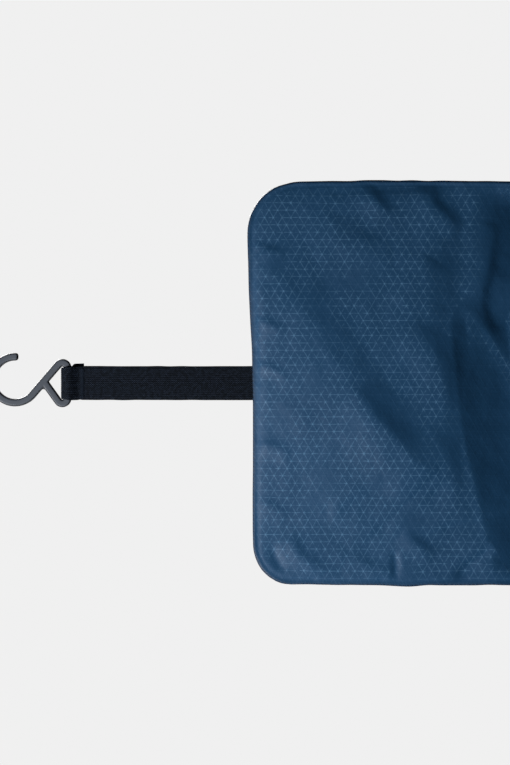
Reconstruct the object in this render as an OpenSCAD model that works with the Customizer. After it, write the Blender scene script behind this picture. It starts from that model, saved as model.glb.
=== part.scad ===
// Hanging toiletry bag: a cloth organiser of three pocketed panels that rolls up
// on two box folds and hangs from a moulded hook on a webbing strap.
//
// Frame: the hook's seat is centred on the origin and its axis runs along Y.
// Z is up, the bag hangs down along -Z, its outer cloth faces +Y and its pockets -Y.

/* [Bag] */
// Width of the open bag, edge to edge
bag_w = 238; // [190:1:300]
// Length of the top panel, from its free edge to the first fold
panel_a_len = 122; // [100:1:160]
// How much shorter each following panel is, so that it tucks inside the one before
tuck_step = 6; // [4:0.5:10]
// Radius of the free corners
corner_r = 24; // [12:1:36]
// Thickness of the outer cloth with its coating
cloth_t = 0.6; // [0.4:0.1:1.2]
// Thickness of the lining cloth
lining_t = 0.6; // [0.4:0.1:1.2]
// Width of the hem that is turned in along every edge
hem_w = 9; // [6:0.5:14]
// Sideways distance from the hook's seat to the bag's centreline
bag_x = 2; // [0:0.5:6]

/* [Pockets] */
// Depth of the top panel's pocket, lining to front
pocket_a_depth = 12; // [11:1:24]
// Depth of the middle panel's pocket
pocket_b_depth = 16; // [11:1:30]
// Depth of the bottom panel's pocket
pocket_c_depth = 24; // [12:1:40]
// Corner radius of the pockets seen from the front
pocket_r = 16; // [8:1:24]
// Bare border beside each pocket
side_margin = 7; // [4:1:14]
// Bare border above and below each pocket
end_margin = 6; // [4:1:12]
// Wall thickness of the side band
gusset_t = 0.8; // [0.5:0.1:1.5]
// Thickness of the pocket front
front_t = 0.8; // [0.5:0.1:1.5]
// Width of the binding that covers the seam of side band and front
binding_w = 4; // [3:0.5:6]
// Thickness of the binding
binding_t = 0.7; // [0.4:0.1:1.2]
// Free space between facing pockets when the bag is closed
closed_clear = 10; // [8:0.5:16]

/* [Zips] */
// Distance from a pocket's top down to its zip
zip_drop = 20; // [16:1:30]
// Height of the slot that the zip fills
zip_slot_h = 12; // [9:0.5:16]
// Bare front at each end of the slot
zip_end_margin = 12; // [8:1:30]
// How far the tape reaches behind the front, past the slot
tape_lap = 4; // [2:0.5:5]
// Thickness of the zip tape
tape_t = 0.5; // [0.3:0.1:0.8]
// Width of the closed coil
coil_w = 3.4; // [2.6:0.1:5]
// Height of the closed coil
coil_h = 1.6; // [1.2:0.1:2.4]
// Length of a slider
slider_len = 11; // [8:0.5:14]
// Running clearance between slider and coil
slider_clear = 0.25; // [0.2:0.05:0.4]
// Thickness of a slider's plates
slider_plate_t = 0.9; // [0.7:0.1:1.2]
// Radius of the bar on the slider that carries the pull
bail_r = 0.7; // [0.5:0.1:1]
// Radial clearance of the pull's eye on that bar
bail_clear = 0.08; // [0.05:0.01:0.1]
// Length of the metal pull
pull_len = 13; // [10:1:20]
// Thickness of the metal pull
pull_t = 1.2; // [0.8:0.1:1.6]
// Length of the moulded grip below the metal pull
grip_len = 22; // [16:1:30]

/* [Strap] */
// Width of the webbing
webbing_w = 20; // [16:1:20]
// Thickness of the webbing
webbing_t = 1.2; // [0.9:0.1:1.5]
// Strap length, from the top of its loop to the bag's edge
strap_len = 113; // [80:1:160]
// Length of the strap's end that is sewn between cloth and lining
anchor_len = 22; // [16:1:40]
// Length of the folded-back tail below the hook's bar
tail_len = 10; // [8:0.5:20]
// Width of the loop where it is pinched between the hook's corners
loop_w = 16.5; // [12:0.5:17]

/* [Keeper] */
// Length of the webbing loop that the hook clips into when the bag is closed
keeper_len = 34; // [26:1:44]
// Room under the keeper loop
keeper_rise = 5.5; // [5:0.5:8]
// Length of each sewn-down foot of the keeper
keeper_foot = 7; // [5:0.5:10]
// Thickness of the thread in a bar tack
tack_t = 0.4; // [0.3:0.1:0.6]

/* [Hook] */
// Radius of the hook's seat
seat_r = 11.5; // [9:0.5:16]
// Width of the hook's bar, seen from the side that the ring shows
bar_w = 4; // [3:0.1:4.4]
// Thickness of the hook
hook_t = 4.5; // [3.5:0.1:5]
// Rounding of the bar's long edges
edge_r = 1; // [0.4:0.1:1.4]
// Rounding of the tip's two corners
tip_r = 1.3; // [1:0.1:1.5]
// How far the ring runs past its own level diameter, to the tip
tip_past = 2; // [0:0.5:20]
// Distance from the seat's centre down to the bar that carries the strap
strap_bar_drop = 30.8; // [30:0.2:40]
// Distance between the centres of the loop's two corners
loop_span = 18; // [18:0.5:24]
// Radius of the loop's corners, to the middle of the bar
loop_corner_r = 3; // [2.5:0.1:4]
// Where the short leg forks off, along the long leg from the ring
fork_at = 10.3; // [8:0.1:12]
// Radius of the web that fills the outer crotch of the fork
web_r = 1.8; // [1:0.1:3]
// How far the web lies below the hook's flat faces
web_sink = 0.3; // [0.1:0.1:1]

/* [Hidden] */
PANELS = ["a", "b", "c"];
PANEL_PIECES = ["panel_outer", "panel_lining", "pocket_gusset", "pocket_front", "pocket_binding",
    "zip_tape", "zip_coil", "zip_stops", "zip_slider", "zip_pull", "zip_grip"];
$fn = 48;

cloth_blue = "#24476b";
web_black = "#141a24";
thread_black = "#10141b";
hook_slate = "#4c5058";
lining_grey = "#8e99a5";
net_black = "#1c1f24";
zip_black = "#171b22";
metal_grey = "#8d9298";

// ---------- layers through a panel, along Y ----------

hem_t = webbing_t;                 // the hem is as thick as the strap's end that it holds
outer_y = hem_t + cloth_t;         // outer face of the bag
fold_y = -lining_t;                // the folds turn about the lining's inner face
fold_gap = 0.3;                    // slit between neighbouring panels
shell_t = outer_y + lining_t;

// ---------- levels, along Z ----------

bar_z = -strap_bar_drop;
bar_reach = norm([bar_w / 2 - edge_r, hook_t / 2 - edge_r]) + edge_r;
loop_clear = 0.1;
loop_r_in = bar_reach + loop_clear;
loop_r_out = loop_r_in + webbing_t;
a_top = bar_z + loop_r_out - strap_len;

flex_clear = 0.05;
flex_y = webbing_t / 2;                                 // it bends about its own middle
flex_z = a_top + webbing_t / 2 + 0.3;                   // the strap bends just above the edge
anchor_z = flex_z - webbing_t / 2 - flex_clear;         // top of the sewn end
strap_end_z = flex_z + 0.15;                            // bottom of the free strap

spine_2_len = pocket_b_depth + pocket_c_depth + closed_clear;
spine_1_len = spine_2_len + shell_t + pocket_a_depth + closed_clear;
fold_1_upper_z = a_top - panel_a_len - fold_gap / 2;
fold_1_lower_z = fold_1_upper_z - spine_1_len;
panel_b_len = panel_a_len - tuck_step;
fold_2_upper_z = fold_1_lower_z - fold_gap - panel_b_len;
fold_2_lower_z = fold_2_upper_z - spine_2_len;
panel_c_len = panel_b_len - tuck_step;

// ---------- each panel's own sizes ----------

function top_of(p) = p == "a" ? a_top : (p == "b" ? fold_1_lower_z : fold_2_lower_z) - fold_gap / 2;
function len_of(p) = p == "a" ? panel_a_len : p == "b" ? panel_b_len : panel_c_len;
function depth_of(p) = p == "a" ? pocket_a_depth : p == "b" ? pocket_b_depth : pocket_c_depth;
function top_r(p) = p == "a" ? corner_r : 0;
function bottom_r(p) = p == "c" ? corner_r : 0;

// ---------- pockets and zips ----------

free_edge_margin = hem_w + 1;      // border of a pocket along the bag's two free ends
pocket_w = bag_w - 2 * side_margin;
function pocket_top(p) = top_of(p) - (p == "a" ? free_edge_margin : end_margin);
function pocket_bottom(p) = top_of(p) - len_of(p) + (p == "c" ? free_edge_margin : end_margin);
function pocket_len(p) = pocket_top(p) - pocket_bottom(p);
function front_y(p) = fold_y - depth_of(p);             // outer face of the pocket's front
function tape_y(p) = front_y(p) + front_t;              // outer face of the zip's tape
function zip_z(p) = pocket_top(p) - zip_drop;

slot_w = pocket_w - 2 * zip_end_margin;
stop_len = 2;
stop_clear = 0.3;
coil_len = slot_w - 2 * stop_len;
slider_travel = coil_len - slider_len - 2 * stop_clear;
slider_in_w = coil_w + 2 * slider_clear;
slider_w = slider_in_w + 2 * slider_plate_t;
slider_in_h = coil_h + slider_clear;                    // room over the tape for the coil
slider_h = slider_in_h + slider_plate_t;                // top of the slider, over the tape
tape_clear = 0.12;                                      // slider's plates clear the tape by this
pull_eye_wall = 0.9;
pull_eye_r = bail_r + bail_clear + pull_eye_wall;       // outer radius of the pull's eye
bail_h = slider_h + slider_clear + pull_eye_r;          // height of the bail's bar over the tape
bail_post = 1.2;                                        // thickness of each post
bail_span = 5.4;                                        // between the posts
pull_eye_w = bail_span - 0.6;                           // the eye, and the pull below it
grip_w = 7;
grip_t = 2.6;
grip_lap = 7;                                           // how far the pull reaches into the grip

// ---------- shapes that several pieces share ----------

// Outline that hangs from level 0 down to -len, with round corners at either end
module hanging_outline(w, len, r_top, r_bottom) {
    translate([-w / 2, r_bottom - len]) square([w, len - r_top - r_bottom]);
    if (r_top > 0) round_end(w, r_top, -r_top, 0);
    if (r_bottom > 0) round_end(w, r_bottom, r_bottom - len, -r_bottom);
}

// One end of that outline: two corner circles and the strip between them
module round_end(w, r, level, below) {
    translate([r - w / 2, level + below]) square([w - 2 * r, r]);
    for (side = [-1, 1]) translate([side * (w / 2 - r), level]) circle(r);
}

// Rectangle with round corners, about its centre
module soft_rect(w, h, r) {
    square([w - 2 * r, h], center = true);
    square([w, h - 2 * r], center = true);
    for (x = [-1, 1], y = [-1, 1]) translate([x * (w / 2 - r), y * (h / 2 - r)]) circle(r);
}

// A flat piece, its outline drawn in X and Z: it lies between y and y + t
module flat(y, t) {
    translate([0, y + t, 0]) rotate([90, 0, 0]) linear_extrude(t) children();
}

// A profile drawn in Y and Z, carried along X over a width about x = 0
module across(w) {
    translate([-w / 2, 0, 0]) rotate([90, 0, 90]) linear_extrude(w) children();
}

// ---------- hook ----------

ring_r = seat_r + bar_w / 2;
corner_z = loop_corner_r - strap_bar_drop;
left_corner = [bag_x - loop_span / 2, corner_z];
right_corner = [bag_x + loop_span / 2, corner_z];
function unit(a) = [cos(a), sin(a)];
// The long leg leaves the ring at a tangent and crosses over to the left corner
leg_normal = atan2(left_corner.y, left_corner.x)
    + acos((ring_r + loop_corner_r) / norm(left_corner));
leg_start = ring_r * unit(leg_normal);
leg_end = left_corner - loop_corner_r * unit(leg_normal);
fork = leg_start + fork_at * unit(leg_normal - 90);
// The short leg leaves the right corner at a tangent and ends in the fork
fork_way = fork - right_corner;
short_normal = atan2(fork_way.y, fork_way.x) - acos(loop_corner_r / norm(fork_way));
short_start = right_corner + loop_corner_r * unit(short_normal);
bar_drop = [0, -loop_corner_r];
// The web lies between the two ways that leave the fork for the ring and for the short leg's start
ring_way = unit(leg_normal + 90);
short_way = (short_start - fork) / norm(short_start - fork);
web_half = acos(ring_way * short_way) / 2;
web_reach = bar_w / 2 + web_r;
web_centre = fork + (ring_way + short_way) / norm(ring_way + short_way) * web_reach / sin(web_half);

// Straight stretches are a hair slimmer than bent ones, and reach a little way into them
slim = 0.01;
reach_in = 0.2;

module bar_section(less = 0) soft_rect(bar_w - 2 * less, hook_t - 2 * less, edge_r);

// The bar bent about a centre, from one angle through a sweep
module bent_bar(centre, r, from, sweep)
    translate(centre) rotate([0, 0, from])
        rotate_extrude(angle = sweep) translate([r, 0]) bar_section();

// The bar between two points
module straight_bar(from, to) {
    way = to - from;
    translate(from) rotate([0, 0, atan2(way.y, way.x)]) translate([-reach_in, 0, 0])
        rotate([90, 0, 90]) linear_extrude(norm(way) + 2 * reach_in) bar_section(slim);
}

// The outer part of the bar's section, which turns about the tip's corners
module tip_section()
    intersection() {
        translate([tip_r + slim - bar_w / 2, 0]) bar_section(slim);
        translate([0, -hook_t / 2]) square([tip_r, hook_t]);
    }

// The tip closes the bar with two round corners and a short straight end between them
module tip() {
    straight = bar_w - 2 * slim - 2 * tip_r;
    translate([straight / 2, 0]) rotate_extrude(angle = 90) tip_section();
    translate([-straight / 2, 0]) rotate([0, 0, 90]) rotate_extrude(angle = 90) tip_section();
    across(straight) tip_section();
}

// Fillet between two bars: the kite from their fork to the fillet's centre, less its circle
module fork_web() linear_extrude(hook_t - 2 * web_sink, center = true) difference() {
    along = web_reach / tan(web_half);
    polygon([fork, fork + along * ring_way, web_centre, fork + along * short_way]);
    translate(web_centre) circle(web_r + slim);
}

module hook() color(hook_slate) rotate([90, 0, 0]) {
    fork_web();
    bent_bar([0, 0], ring_r, leg_normal, 180 + tip_past - leg_normal);
    straight_bar(leg_start, leg_end);
    bent_bar(left_corner, loop_corner_r, leg_normal + 180, 90 - leg_normal);
    straight_bar(left_corner + bar_drop, right_corner + bar_drop);
    bent_bar(right_corner, loop_corner_r, -90, short_normal + 90);
    straight_bar(short_start, fork);
    rotate([0, 0, 180 + tip_past]) translate([ring_r, -reach_in]) tip();
}

// ---------- strap ----------

loop_straight = 1.5;               // the loop's sides run straight this far below the bar
loop_join = 7.5;                   // the two layers meet this far below the bar
tack_band = 2.4;                   // height of a bar tack
tack_w = webbing_w - 3;            // width of a bar tack

// Half of the loop's side view: over the bar, down one side and in to the other layer
module loop_side(side) mirror([side < 0 ? 1 : 0, 0]) {
    intersection() {
        difference() {
            circle(loop_r_out);
            circle(loop_r_in);
        }
        square(loop_r_out + 1);
    }
    translate([loop_r_in, -loop_straight]) square([webbing_t, loop_straight]);
    polygon([[loop_r_in, -loop_straight], [loop_r_out, -loop_straight],
             [webbing_t, -loop_join], [0, -loop_join]]);
}

module hanger_strap() color(web_black) translate([bag_x, 0, 0]) {
    translate([0, 0, bar_z]) across(loop_w) {
        loop_side(1);
        loop_side(-1);
    }
    translate([-webbing_w / 2, 0, strap_end_z])
        cube([webbing_w, webbing_t, bar_z - loop_join - strap_end_z]);
    translate([-webbing_w / 2, -webbing_t, bar_z - tail_len])
        cube([webbing_w, webbing_t, tail_len - loop_join]);
}

// Rows of thread across the webbing, on the face that starts at y
module tack_rows(y, w, z, height)
    for (row = [0, 1]) translate([-w / 2, y, z - row * (height - tack_t)])
        cube([w, tack_t, tack_t]);

// The loop is closed by a tack through both layers, half way down the tail
module strap_bar_tack() color(thread_black) translate([bag_x, 0, 0]) {
    top = bar_z - (loop_join + tail_len) / 2 + tack_band / 2 - tack_t;
    tack_rows(webbing_t, tack_w, top, tack_band);
    tack_rows(-webbing_t - tack_t, tack_w, top, tack_band);
}

module strap_anchor() color(web_black)
    translate([bag_x - webbing_w / 2, flex_y - webbing_t / 2, anchor_z - anchor_len])
        cube([webbing_w, webbing_t, anchor_len]);

// The seam that holds the anchor shows on the outer cloth
module anchor_tack() color(thread_black) translate([bag_x, 0, 0])
    tack_rows(outer_y, tack_w, a_top - hem_w, tack_band);

// ---------- bag shell ----------

// Outer cloth with its turned-in hem: hemmed all round but for the ends that meet a fold
module outer_cloth(w, top, len, r_top, r_bottom) translate([bag_x, 0, top]) {
    flat(hem_t, cloth_t) hanging_outline(w, len, r_top, r_bottom);
    flat(0, hem_t) difference() {
        hanging_outline(w, len, r_top, r_bottom);
        translate([0, r_top > 0 ? -hem_w : 1])
            hanging_outline(w - 2 * hem_w, len + 2 - (r_top > 0 ? hem_w + 1 : 0)
                - (r_bottom > 0 ? hem_w + 1 : 0), max(0, r_top - hem_w), max(0, r_bottom - hem_w));
        children();
    }
}

module panel_outer(p) color(cloth_blue)
    outer_cloth(bag_w, top_of(p), len_of(p), top_r(p), bottom_r(p)) {
        // the strap's sewn end lies in the hem of the top panel
        if (p == "a") translate([-webbing_w / 2, -anchor_len - 1]) square([webbing_w, anchor_len + 2]);
    }

module panel_lining(p) color(lining_grey) translate([bag_x, 0, top_of(p)])
    flat(fold_y, lining_t) hanging_outline(bag_w, len_of(p), top_r(p), bottom_r(p));

function spine_top(n) = n == 1 ? fold_1_upper_z - fold_gap / 2 : fold_2_upper_z - fold_gap / 2;
function spine_len(n) = (n == 1 ? spine_1_len : spine_2_len) - fold_gap;

module spine_outer(n) color(cloth_blue)
    outer_cloth(bag_w, spine_top(n), spine_len(n), 0, 0);

module spine_lining(n) color(lining_grey) translate([bag_x, 0, spine_top(n)])
    flat(fold_y, lining_t) hanging_outline(bag_w, spine_len(n), 0, 0);

// ---------- keeper loop, on the middle panel's outer face ----------

// The closed bag's thickness is what the strap passes over before it reaches the keeper
keeper_z = fold_2_upper_z + strap_len - spine_1_len - loop_r_out + strap_bar_drop;
keeper_slope = 4;                  // each side climbs over this length
keeper_side = [[keeper_len / 2, 0], [keeper_len / 2 - keeper_foot, 0],
    [keeper_len / 2 - keeper_foot - keeper_slope, keeper_rise]];

module keeper_loop() color(web_black) translate([bag_x, outer_y, keeper_z]) {
    inner = concat([for (q = keeper_side) [q.y, q.x]], [for (i = [2:-1:0])
        [keeper_side[i].y, -keeper_side[i].x]]);
    outer = [for (i = [len(inner) - 1:-1:0]) inner[i] + [webbing_t, 0]];
    across(webbing_w) polygon(concat(inner, outer));
}

module keeper_tacks() color(thread_black) translate([bag_x, 0, keeper_z])
    for (side = [-1, 1])
        tack_rows(outer_y + webbing_t, tack_w,
            side * (keeper_len - keeper_foot) / 2 + (tack_band - tack_t) / 2, tack_band);

// ---------- pockets ----------

module pocket_outline(p, inset) translate([bag_x, (pocket_top(p) + pocket_bottom(p)) / 2])
    soft_rect(pocket_w - 2 * inset, pocket_len(p) - 2 * inset, pocket_r - inset);

module pocket_gusset(p) color(cloth_blue)
    flat(tape_y(p), depth_of(p) - front_t) difference() {
        pocket_outline(p, 0);
        pocket_outline(p, gusset_t);
    }

module zip_slot(p, w, h) translate([bag_x, zip_z(p)]) square([w, h], center = true);

module pocket_front(p) color(net_black)
    flat(front_y(p), front_t) difference() {
        pocket_outline(p, 0);
        zip_slot(p, slot_w, zip_slot_h);
    }

// The binding folds over the seam of front and side band
module pocket_binding(p) color(web_black) {
    flat(front_y(p) - binding_t, binding_t) difference() {
        pocket_outline(p, -binding_t);
        pocket_outline(p, binding_w);
    }
    flat(front_y(p), binding_w) difference() {
        pocket_outline(p, -binding_t);
        pocket_outline(p, 0);
    }
}

// ---------- zips ----------

module zip_tape(p) color(zip_black)
    flat(tape_y(p), tape_t) zip_slot(p, slot_w + 2 * tape_lap, zip_slot_h + 2 * tape_lap);

// What lies on the tape's outer face, at the zip's middle; -Y is up from the tape
module on_tape(p) translate([bag_x, tape_y(p), zip_z(p)]) children();

module zip_coil(p) color(zip_black) on_tape(p)
    translate([-coil_len / 2, -coil_h, -coil_w / 2]) cube([coil_len, coil_h, coil_w]);

module zip_stops(p) color(metal_grey) on_tape(p)
    for (side = [-1, 1]) translate([side * (coil_len + stop_len) / 2, -coil_h / 2, 0])
        cube([stop_len, coil_h, coil_w + 1], center = true);

slider_x = slider_travel / 2;      // the zip is closed at rest

module slider_plate(y, t) flat(y, t) soft_rect(slider_len, slider_w, slider_w / 2 - 0.4);

module zip_slider(p) color(metal_grey) on_tape(p) translate([slider_x, 0, 0]) {
    // front half: a channel over the coil
    difference() {
        slider_plate(-slider_h, slider_h - tape_clear);
        translate([-slider_len, -slider_in_h, -slider_in_w / 2])
            cube([2 * slider_len, slider_in_h + 1, slider_in_w]);
    }
    // back plate, behind the tape
    slider_plate(tape_t + tape_clear, slider_plate_t);
    // bail: two posts and the bar between them
    for (side = [-1, 1])
        translate([side * (bail_span + bail_post) / 2 - bail_post / 2, -bail_h - bail_r, -bail_r])
            cube([bail_post, bail_h + bail_r - slider_h, 2 * bail_r]);
    translate([-bail_span / 2, -bail_h, 0]) rotate([0, 90, 0]) cylinder(bail_span, r = bail_r);
}

// The pull hangs from the bail by a rolled eye
module zip_pull(p) color(metal_grey) on_tape(p) translate([slider_x, -bail_h, 0])
    difference() {
        union() {
            translate([-pull_eye_w / 2, 0, 0]) rotate([0, 90, 0])
                cylinder(pull_eye_w, r = pull_eye_r);
            translate([-pull_eye_w / 2, -pull_t / 2, -pull_len])
                cube([pull_eye_w, pull_t, pull_len]);
        }
        translate([-bail_span, 0, 0]) rotate([0, 90, 0])
            cylinder(2 * bail_span, r = bail_r + bail_clear);
    }

// The grip is moulded round the lower end of the pull
module zip_grip(p) color(net_black) on_tape(p) translate([slider_x, -bail_h, 0])
    difference() {
        flat(-grip_t / 2, grip_t) translate([0, grip_lap - pull_len - grip_len / 2])
            soft_rect(grip_w, grip_len, grip_w / 2 - 0.5);
        translate([-pull_eye_w / 2, -pull_t / 2, -pull_len])
            cube([pull_eye_w, pull_t, pull_len]);
    }

// ---------- drawing ----------

hook();
hanger_strap();
strap_bar_tack();
strap_anchor();
anchor_tack();
keeper_loop();
keeper_tacks();
for (n = [1, 2]) {
    spine_outer(n);
    spine_lining(n);
}
for (p = PANELS) {
    panel_outer(p);
    panel_lining(p);
    pocket_gusset(p);
    pocket_front(p);
    pocket_binding(p);
    zip_tape(p);
    zip_coil(p);
    zip_stops(p);
    zip_slider(p);
    zip_pull(p);
    zip_grip(p);
}
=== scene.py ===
"""Hanging toiletry bag: ripstop roll-up with three net pockets, a webbing strap and an open hook.

The bag hangs with +Z up. Its plain outer cloth faces +Y and its pockets face -Y. All lengths are
metres unless a name ends in _mm. Cloth pieces carry a UV map named Cloth, in metres along the cloth.
"""
import sys

import logging
import math
from dataclasses import dataclass, field
from enum import Enum
from typing import Any, Sequence

import bpy
import numpy as np
from mathutils import Matrix, Vector


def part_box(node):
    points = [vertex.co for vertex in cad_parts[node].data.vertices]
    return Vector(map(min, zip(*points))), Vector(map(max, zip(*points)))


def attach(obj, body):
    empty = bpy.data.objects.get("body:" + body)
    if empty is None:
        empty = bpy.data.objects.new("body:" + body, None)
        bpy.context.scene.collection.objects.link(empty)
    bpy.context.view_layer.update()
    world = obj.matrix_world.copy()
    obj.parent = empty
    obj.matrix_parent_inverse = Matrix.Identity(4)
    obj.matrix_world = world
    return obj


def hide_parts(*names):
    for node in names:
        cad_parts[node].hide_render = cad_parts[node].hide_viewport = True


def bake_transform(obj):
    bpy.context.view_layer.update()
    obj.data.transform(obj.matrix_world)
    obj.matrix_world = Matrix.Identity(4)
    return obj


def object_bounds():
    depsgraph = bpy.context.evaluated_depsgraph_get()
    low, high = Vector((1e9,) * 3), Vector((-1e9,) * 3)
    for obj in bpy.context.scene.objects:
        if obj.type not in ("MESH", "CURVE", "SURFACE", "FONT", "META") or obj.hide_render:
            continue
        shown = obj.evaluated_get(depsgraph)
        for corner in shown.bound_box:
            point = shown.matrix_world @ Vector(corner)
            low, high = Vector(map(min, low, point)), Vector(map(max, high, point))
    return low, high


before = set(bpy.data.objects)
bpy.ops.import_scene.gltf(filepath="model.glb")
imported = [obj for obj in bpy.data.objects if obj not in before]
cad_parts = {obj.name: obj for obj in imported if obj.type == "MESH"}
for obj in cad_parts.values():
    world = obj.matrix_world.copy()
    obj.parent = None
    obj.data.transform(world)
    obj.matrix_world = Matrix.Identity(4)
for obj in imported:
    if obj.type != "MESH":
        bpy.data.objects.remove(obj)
CAD_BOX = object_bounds()

MM = 0.001
CLOTH_UV = "Cloth"
log = logging.getLogger("toiletry_bag")

Array = np.ndarray
Solid = tuple[Array, list[Array]]
Pair = tuple[float, float]


class Held(Enum):
    """How a sheet of cloth is held."""

    HUNG = "hung"
    STRETCHED = "stretched"


# ---------------------------------------------------------------- surfaces as whole arrays


def smooth_step(value: Array | float, low: float = 0.0, high: float = 1.0) -> Array:
    """Cubic step 3t^2 - 2t^3, where t runs 0 to 1 as value runs from low to high.

    Args:
        value: Where to read the step.
        low: Value at which the step starts.
        high: Value at which it ends; it may lie below low.

    Returns:
        The step, 0 to 1.
    """
    t = np.clip((np.asarray(value, float) - low) / (high - low), 0.0, 1.0)
    return t * t * (3.0 - 2.0 * t)


def soft_ramp(value: Array | float, low: Array | float, high: Array | float) -> Array:
    """Ramp 0.65 t + 0.35 smooth_step(t), where t runs 0 to 1 as value runs from low to high.

    Args:
        value: Where to read the ramp.
        low: Value at which the ramp starts.
        high: Value at which it ends; it may lie below low.

    Returns:
        The ramp, 0 to 1.
    """
    straight = 0.65
    t = np.clip((np.asarray(value, float) - low) / (high - low), 0.0, 1.0)
    return straight * t + (1 - straight) * smooth_step(t)


def soft_noise(x: Array, z: Array, pitch: float, seed: int) -> Array:
    """Smooth random field: random values on a square lattice, joined with cubic steps.

    Args:
        x: First coordinate, in metres.
        z: Second coordinate, in metres.
        pitch: Lattice spacing, in metres.
        seed: Seed of the lattice values.

    Returns:
        Field values from -1 to 1.
    """
    size = 128
    lattice = np.random.default_rng(seed).uniform(-1.0, 1.0, (size, size))
    a, b = x / pitch + size / 2, z / pitch + size / 2
    i, j = np.floor(a).astype(int), np.floor(b).astype(int)
    s, t = smooth_step(a - i), smooth_step(b - j)
    i, j = i % size, j % size
    k, m = (i + 1) % size, (j + 1) % size
    near = lattice[i, j] * (1 - s) + lattice[k, j] * s
    far = lattice[i, m] * (1 - s) + lattice[k, m] * s
    return near * (1 - t) + far * t


def smooth_line(points: Sequence[Pair], count: int) -> Array:
    """Catmull-Rom curve through given points, with the end points repeated.

    Args:
        points: Points of the line.
        count: How many samples to return.

    Returns:
        Samples along the curve, shape (count, 2).
    """
    p = np.asarray(points, float)
    p = np.vstack([2 * p[0] - p[1], p, 2 * p[-1] - p[-2]])
    t = np.linspace(0, len(points) - 1, count)
    k = np.minimum(t.astype(int), len(points) - 2)
    f = (t - k)[:, None]
    a, b, c, d = p[k], p[k + 1], p[k + 2], p[k + 3]
    bend, jerk = 2 * a - 5 * b + 4 * c - d, 3 * b - a - 3 * c + d
    return 0.5 * (2 * b + (c - a) * f + bend * f**2 + jerk * f**3)


def edge_steps(length: float, step: float, fine_start: bool, fine_end: bool) -> Array:
    """Distances from 0 to length, even but for finer ones beside an edge that is rolled over.

    Args:
        length: Total distance.
        step: Spacing away from the edges.
        fine_start: Whether the start is a rolled edge.
        fine_end: Whether the end is a rolled edge.

    Returns:
        Rising distances.
    """
    fine = np.array([0.0, 0.05, 0.18, 0.4, 0.7, 1.1, 1.6, 2.3, 3.2]) * MM
    low = fine if fine_start else np.array([0.0])
    high = length - (fine[::-1] if fine_end else np.array([0.0]))
    count = max(3, round((high[0] - low[-1]) / step) + 1)
    middle = np.linspace(low[-1], high[0], count)[1:-1]
    return np.concatenate([low, middle, high])


def grid_faces(rows: int, columns: int, wrap_rows: bool = False, wrap_columns: bool = False) -> Array:
    """Quads of a grid of points numbered row by row.

    Args:
        rows: Number of rows.
        columns: Number of columns.
        wrap_rows: Whether the last row joins the first.
        wrap_columns: Whether the last column joins the first.

    Returns:
        Vertex numbers, shape (faces, 4).
    """
    i = np.arange(rows if wrap_rows else rows - 1)[:, None]
    j = np.arange(columns if wrap_columns else columns - 1)[None, :]
    a, b = i * columns + j, i * columns + (j + 1) % columns
    c, d = ((i + 1) % rows) * columns + (j + 1) % columns, ((i + 1) % rows) * columns + j
    return np.stack([a, b, c, d], -1).reshape(-1, 4)


def signed_volume(points: Array, faces: Sequence[Array]) -> float:
    """Six times the volume that the faces enclose, summed as fans; negative if they point inwards.

    Args:
        points: Vertices, shape (n, 3).
        faces: Arrays of faces, each with one number of corners.

    Returns:
        The signed sum.
    """
    total = 0.0
    centred = points - points.mean(0)
    for group in faces:
        for k in range(1, group.shape[1] - 1):
            a, b, c = centred[group[:, 0]], centred[group[:, k]], centred[group[:, k + 1]]
            total += float((a * np.cross(b, c)).sum())
    return total


def mesh_object(
    name: str, points: Array, faces: Sequence[Array], uv: Array | None = None, sharp: float = 50.0
) -> bpy.types.Object:
    """A mesh object at the origin, with its faces turned outwards.

    Args:
        name: Name of the piece.
        points: Vertices in the row frame, shape (n, 3), in metres.
        faces: Arrays of faces, each with one number of corners.
        uv: Cloth coordinates of each vertex, in metres, or None.
        sharp: Angle in degrees above which an edge is sharp.

    Returns:
        The new object.
    """
    if signed_volume(points, faces) < 0:
        faces = [group[:, ::-1] for group in faces]
    mesh = bpy.data.meshes.new(name)
    corners = np.concatenate([group.ravel() for group in faces]).astype(np.int32)
    sizes = np.concatenate([np.full(len(group), group.shape[1]) for group in faces])
    starts = np.concatenate([[0], np.cumsum(sizes)[:-1]]).astype(np.int32)
    mesh.vertices.add(len(points))
    mesh.vertices.foreach_set("co", points.astype(np.float32).ravel())
    mesh.loops.add(len(corners))
    mesh.loops.foreach_set("vertex_index", corners)
    mesh.polygons.add(len(starts))
    mesh.polygons.foreach_set("loop_start", starts)
    mesh.update(calc_edges=True)
    if uv is not None:
        layer = mesh.uv_layers.new(name=CLOTH_UV)
        layer.uv.foreach_set("vector", uv[corners].astype(np.float32).ravel())
    mesh.validate()
    mesh.shade_smooth()
    mesh.set_sharp_from_angle(angle=math.radians(sharp))
    obj = bpy.data.objects.new(name, mesh)
    bpy.context.scene.collection.objects.link(obj)
    return obj


def shell_object(name: str, front: Array, back: Array, uv: Array, sharp: float = 50.0) -> bpy.types.Object:
    """Closed shell between two grids of the same shape, joined round all four sides.

    Args:
        name: Name of the piece.
        front: One face, shape (rows, columns, 3).
        back: The other face, the same shape.
        uv: Cloth coordinates of the grid, shape (rows, columns, 2).
        sharp: Angle in degrees above which an edge is sharp.

    Returns:
        The new object.
    """
    rows, columns = front.shape[:2]
    count = rows * columns
    number = np.arange(count).reshape(rows, columns)
    rim = np.concatenate([number[0, :-1], number[:-1, -1], number[-1, :0:-1], number[:0:-1, 0]])
    after = np.roll(rim, -1)
    quads = grid_faces(rows, columns)
    sides = np.stack([rim, rim + count, after + count, after], -1)
    points = np.concatenate([front.reshape(-1, 3), back.reshape(-1, 3)])
    both = np.concatenate([uv.reshape(-1, 2), uv.reshape(-1, 2)])
    return mesh_object(name, points, [quads, quads[:, ::-1] + count, sides], both, sharp)


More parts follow.
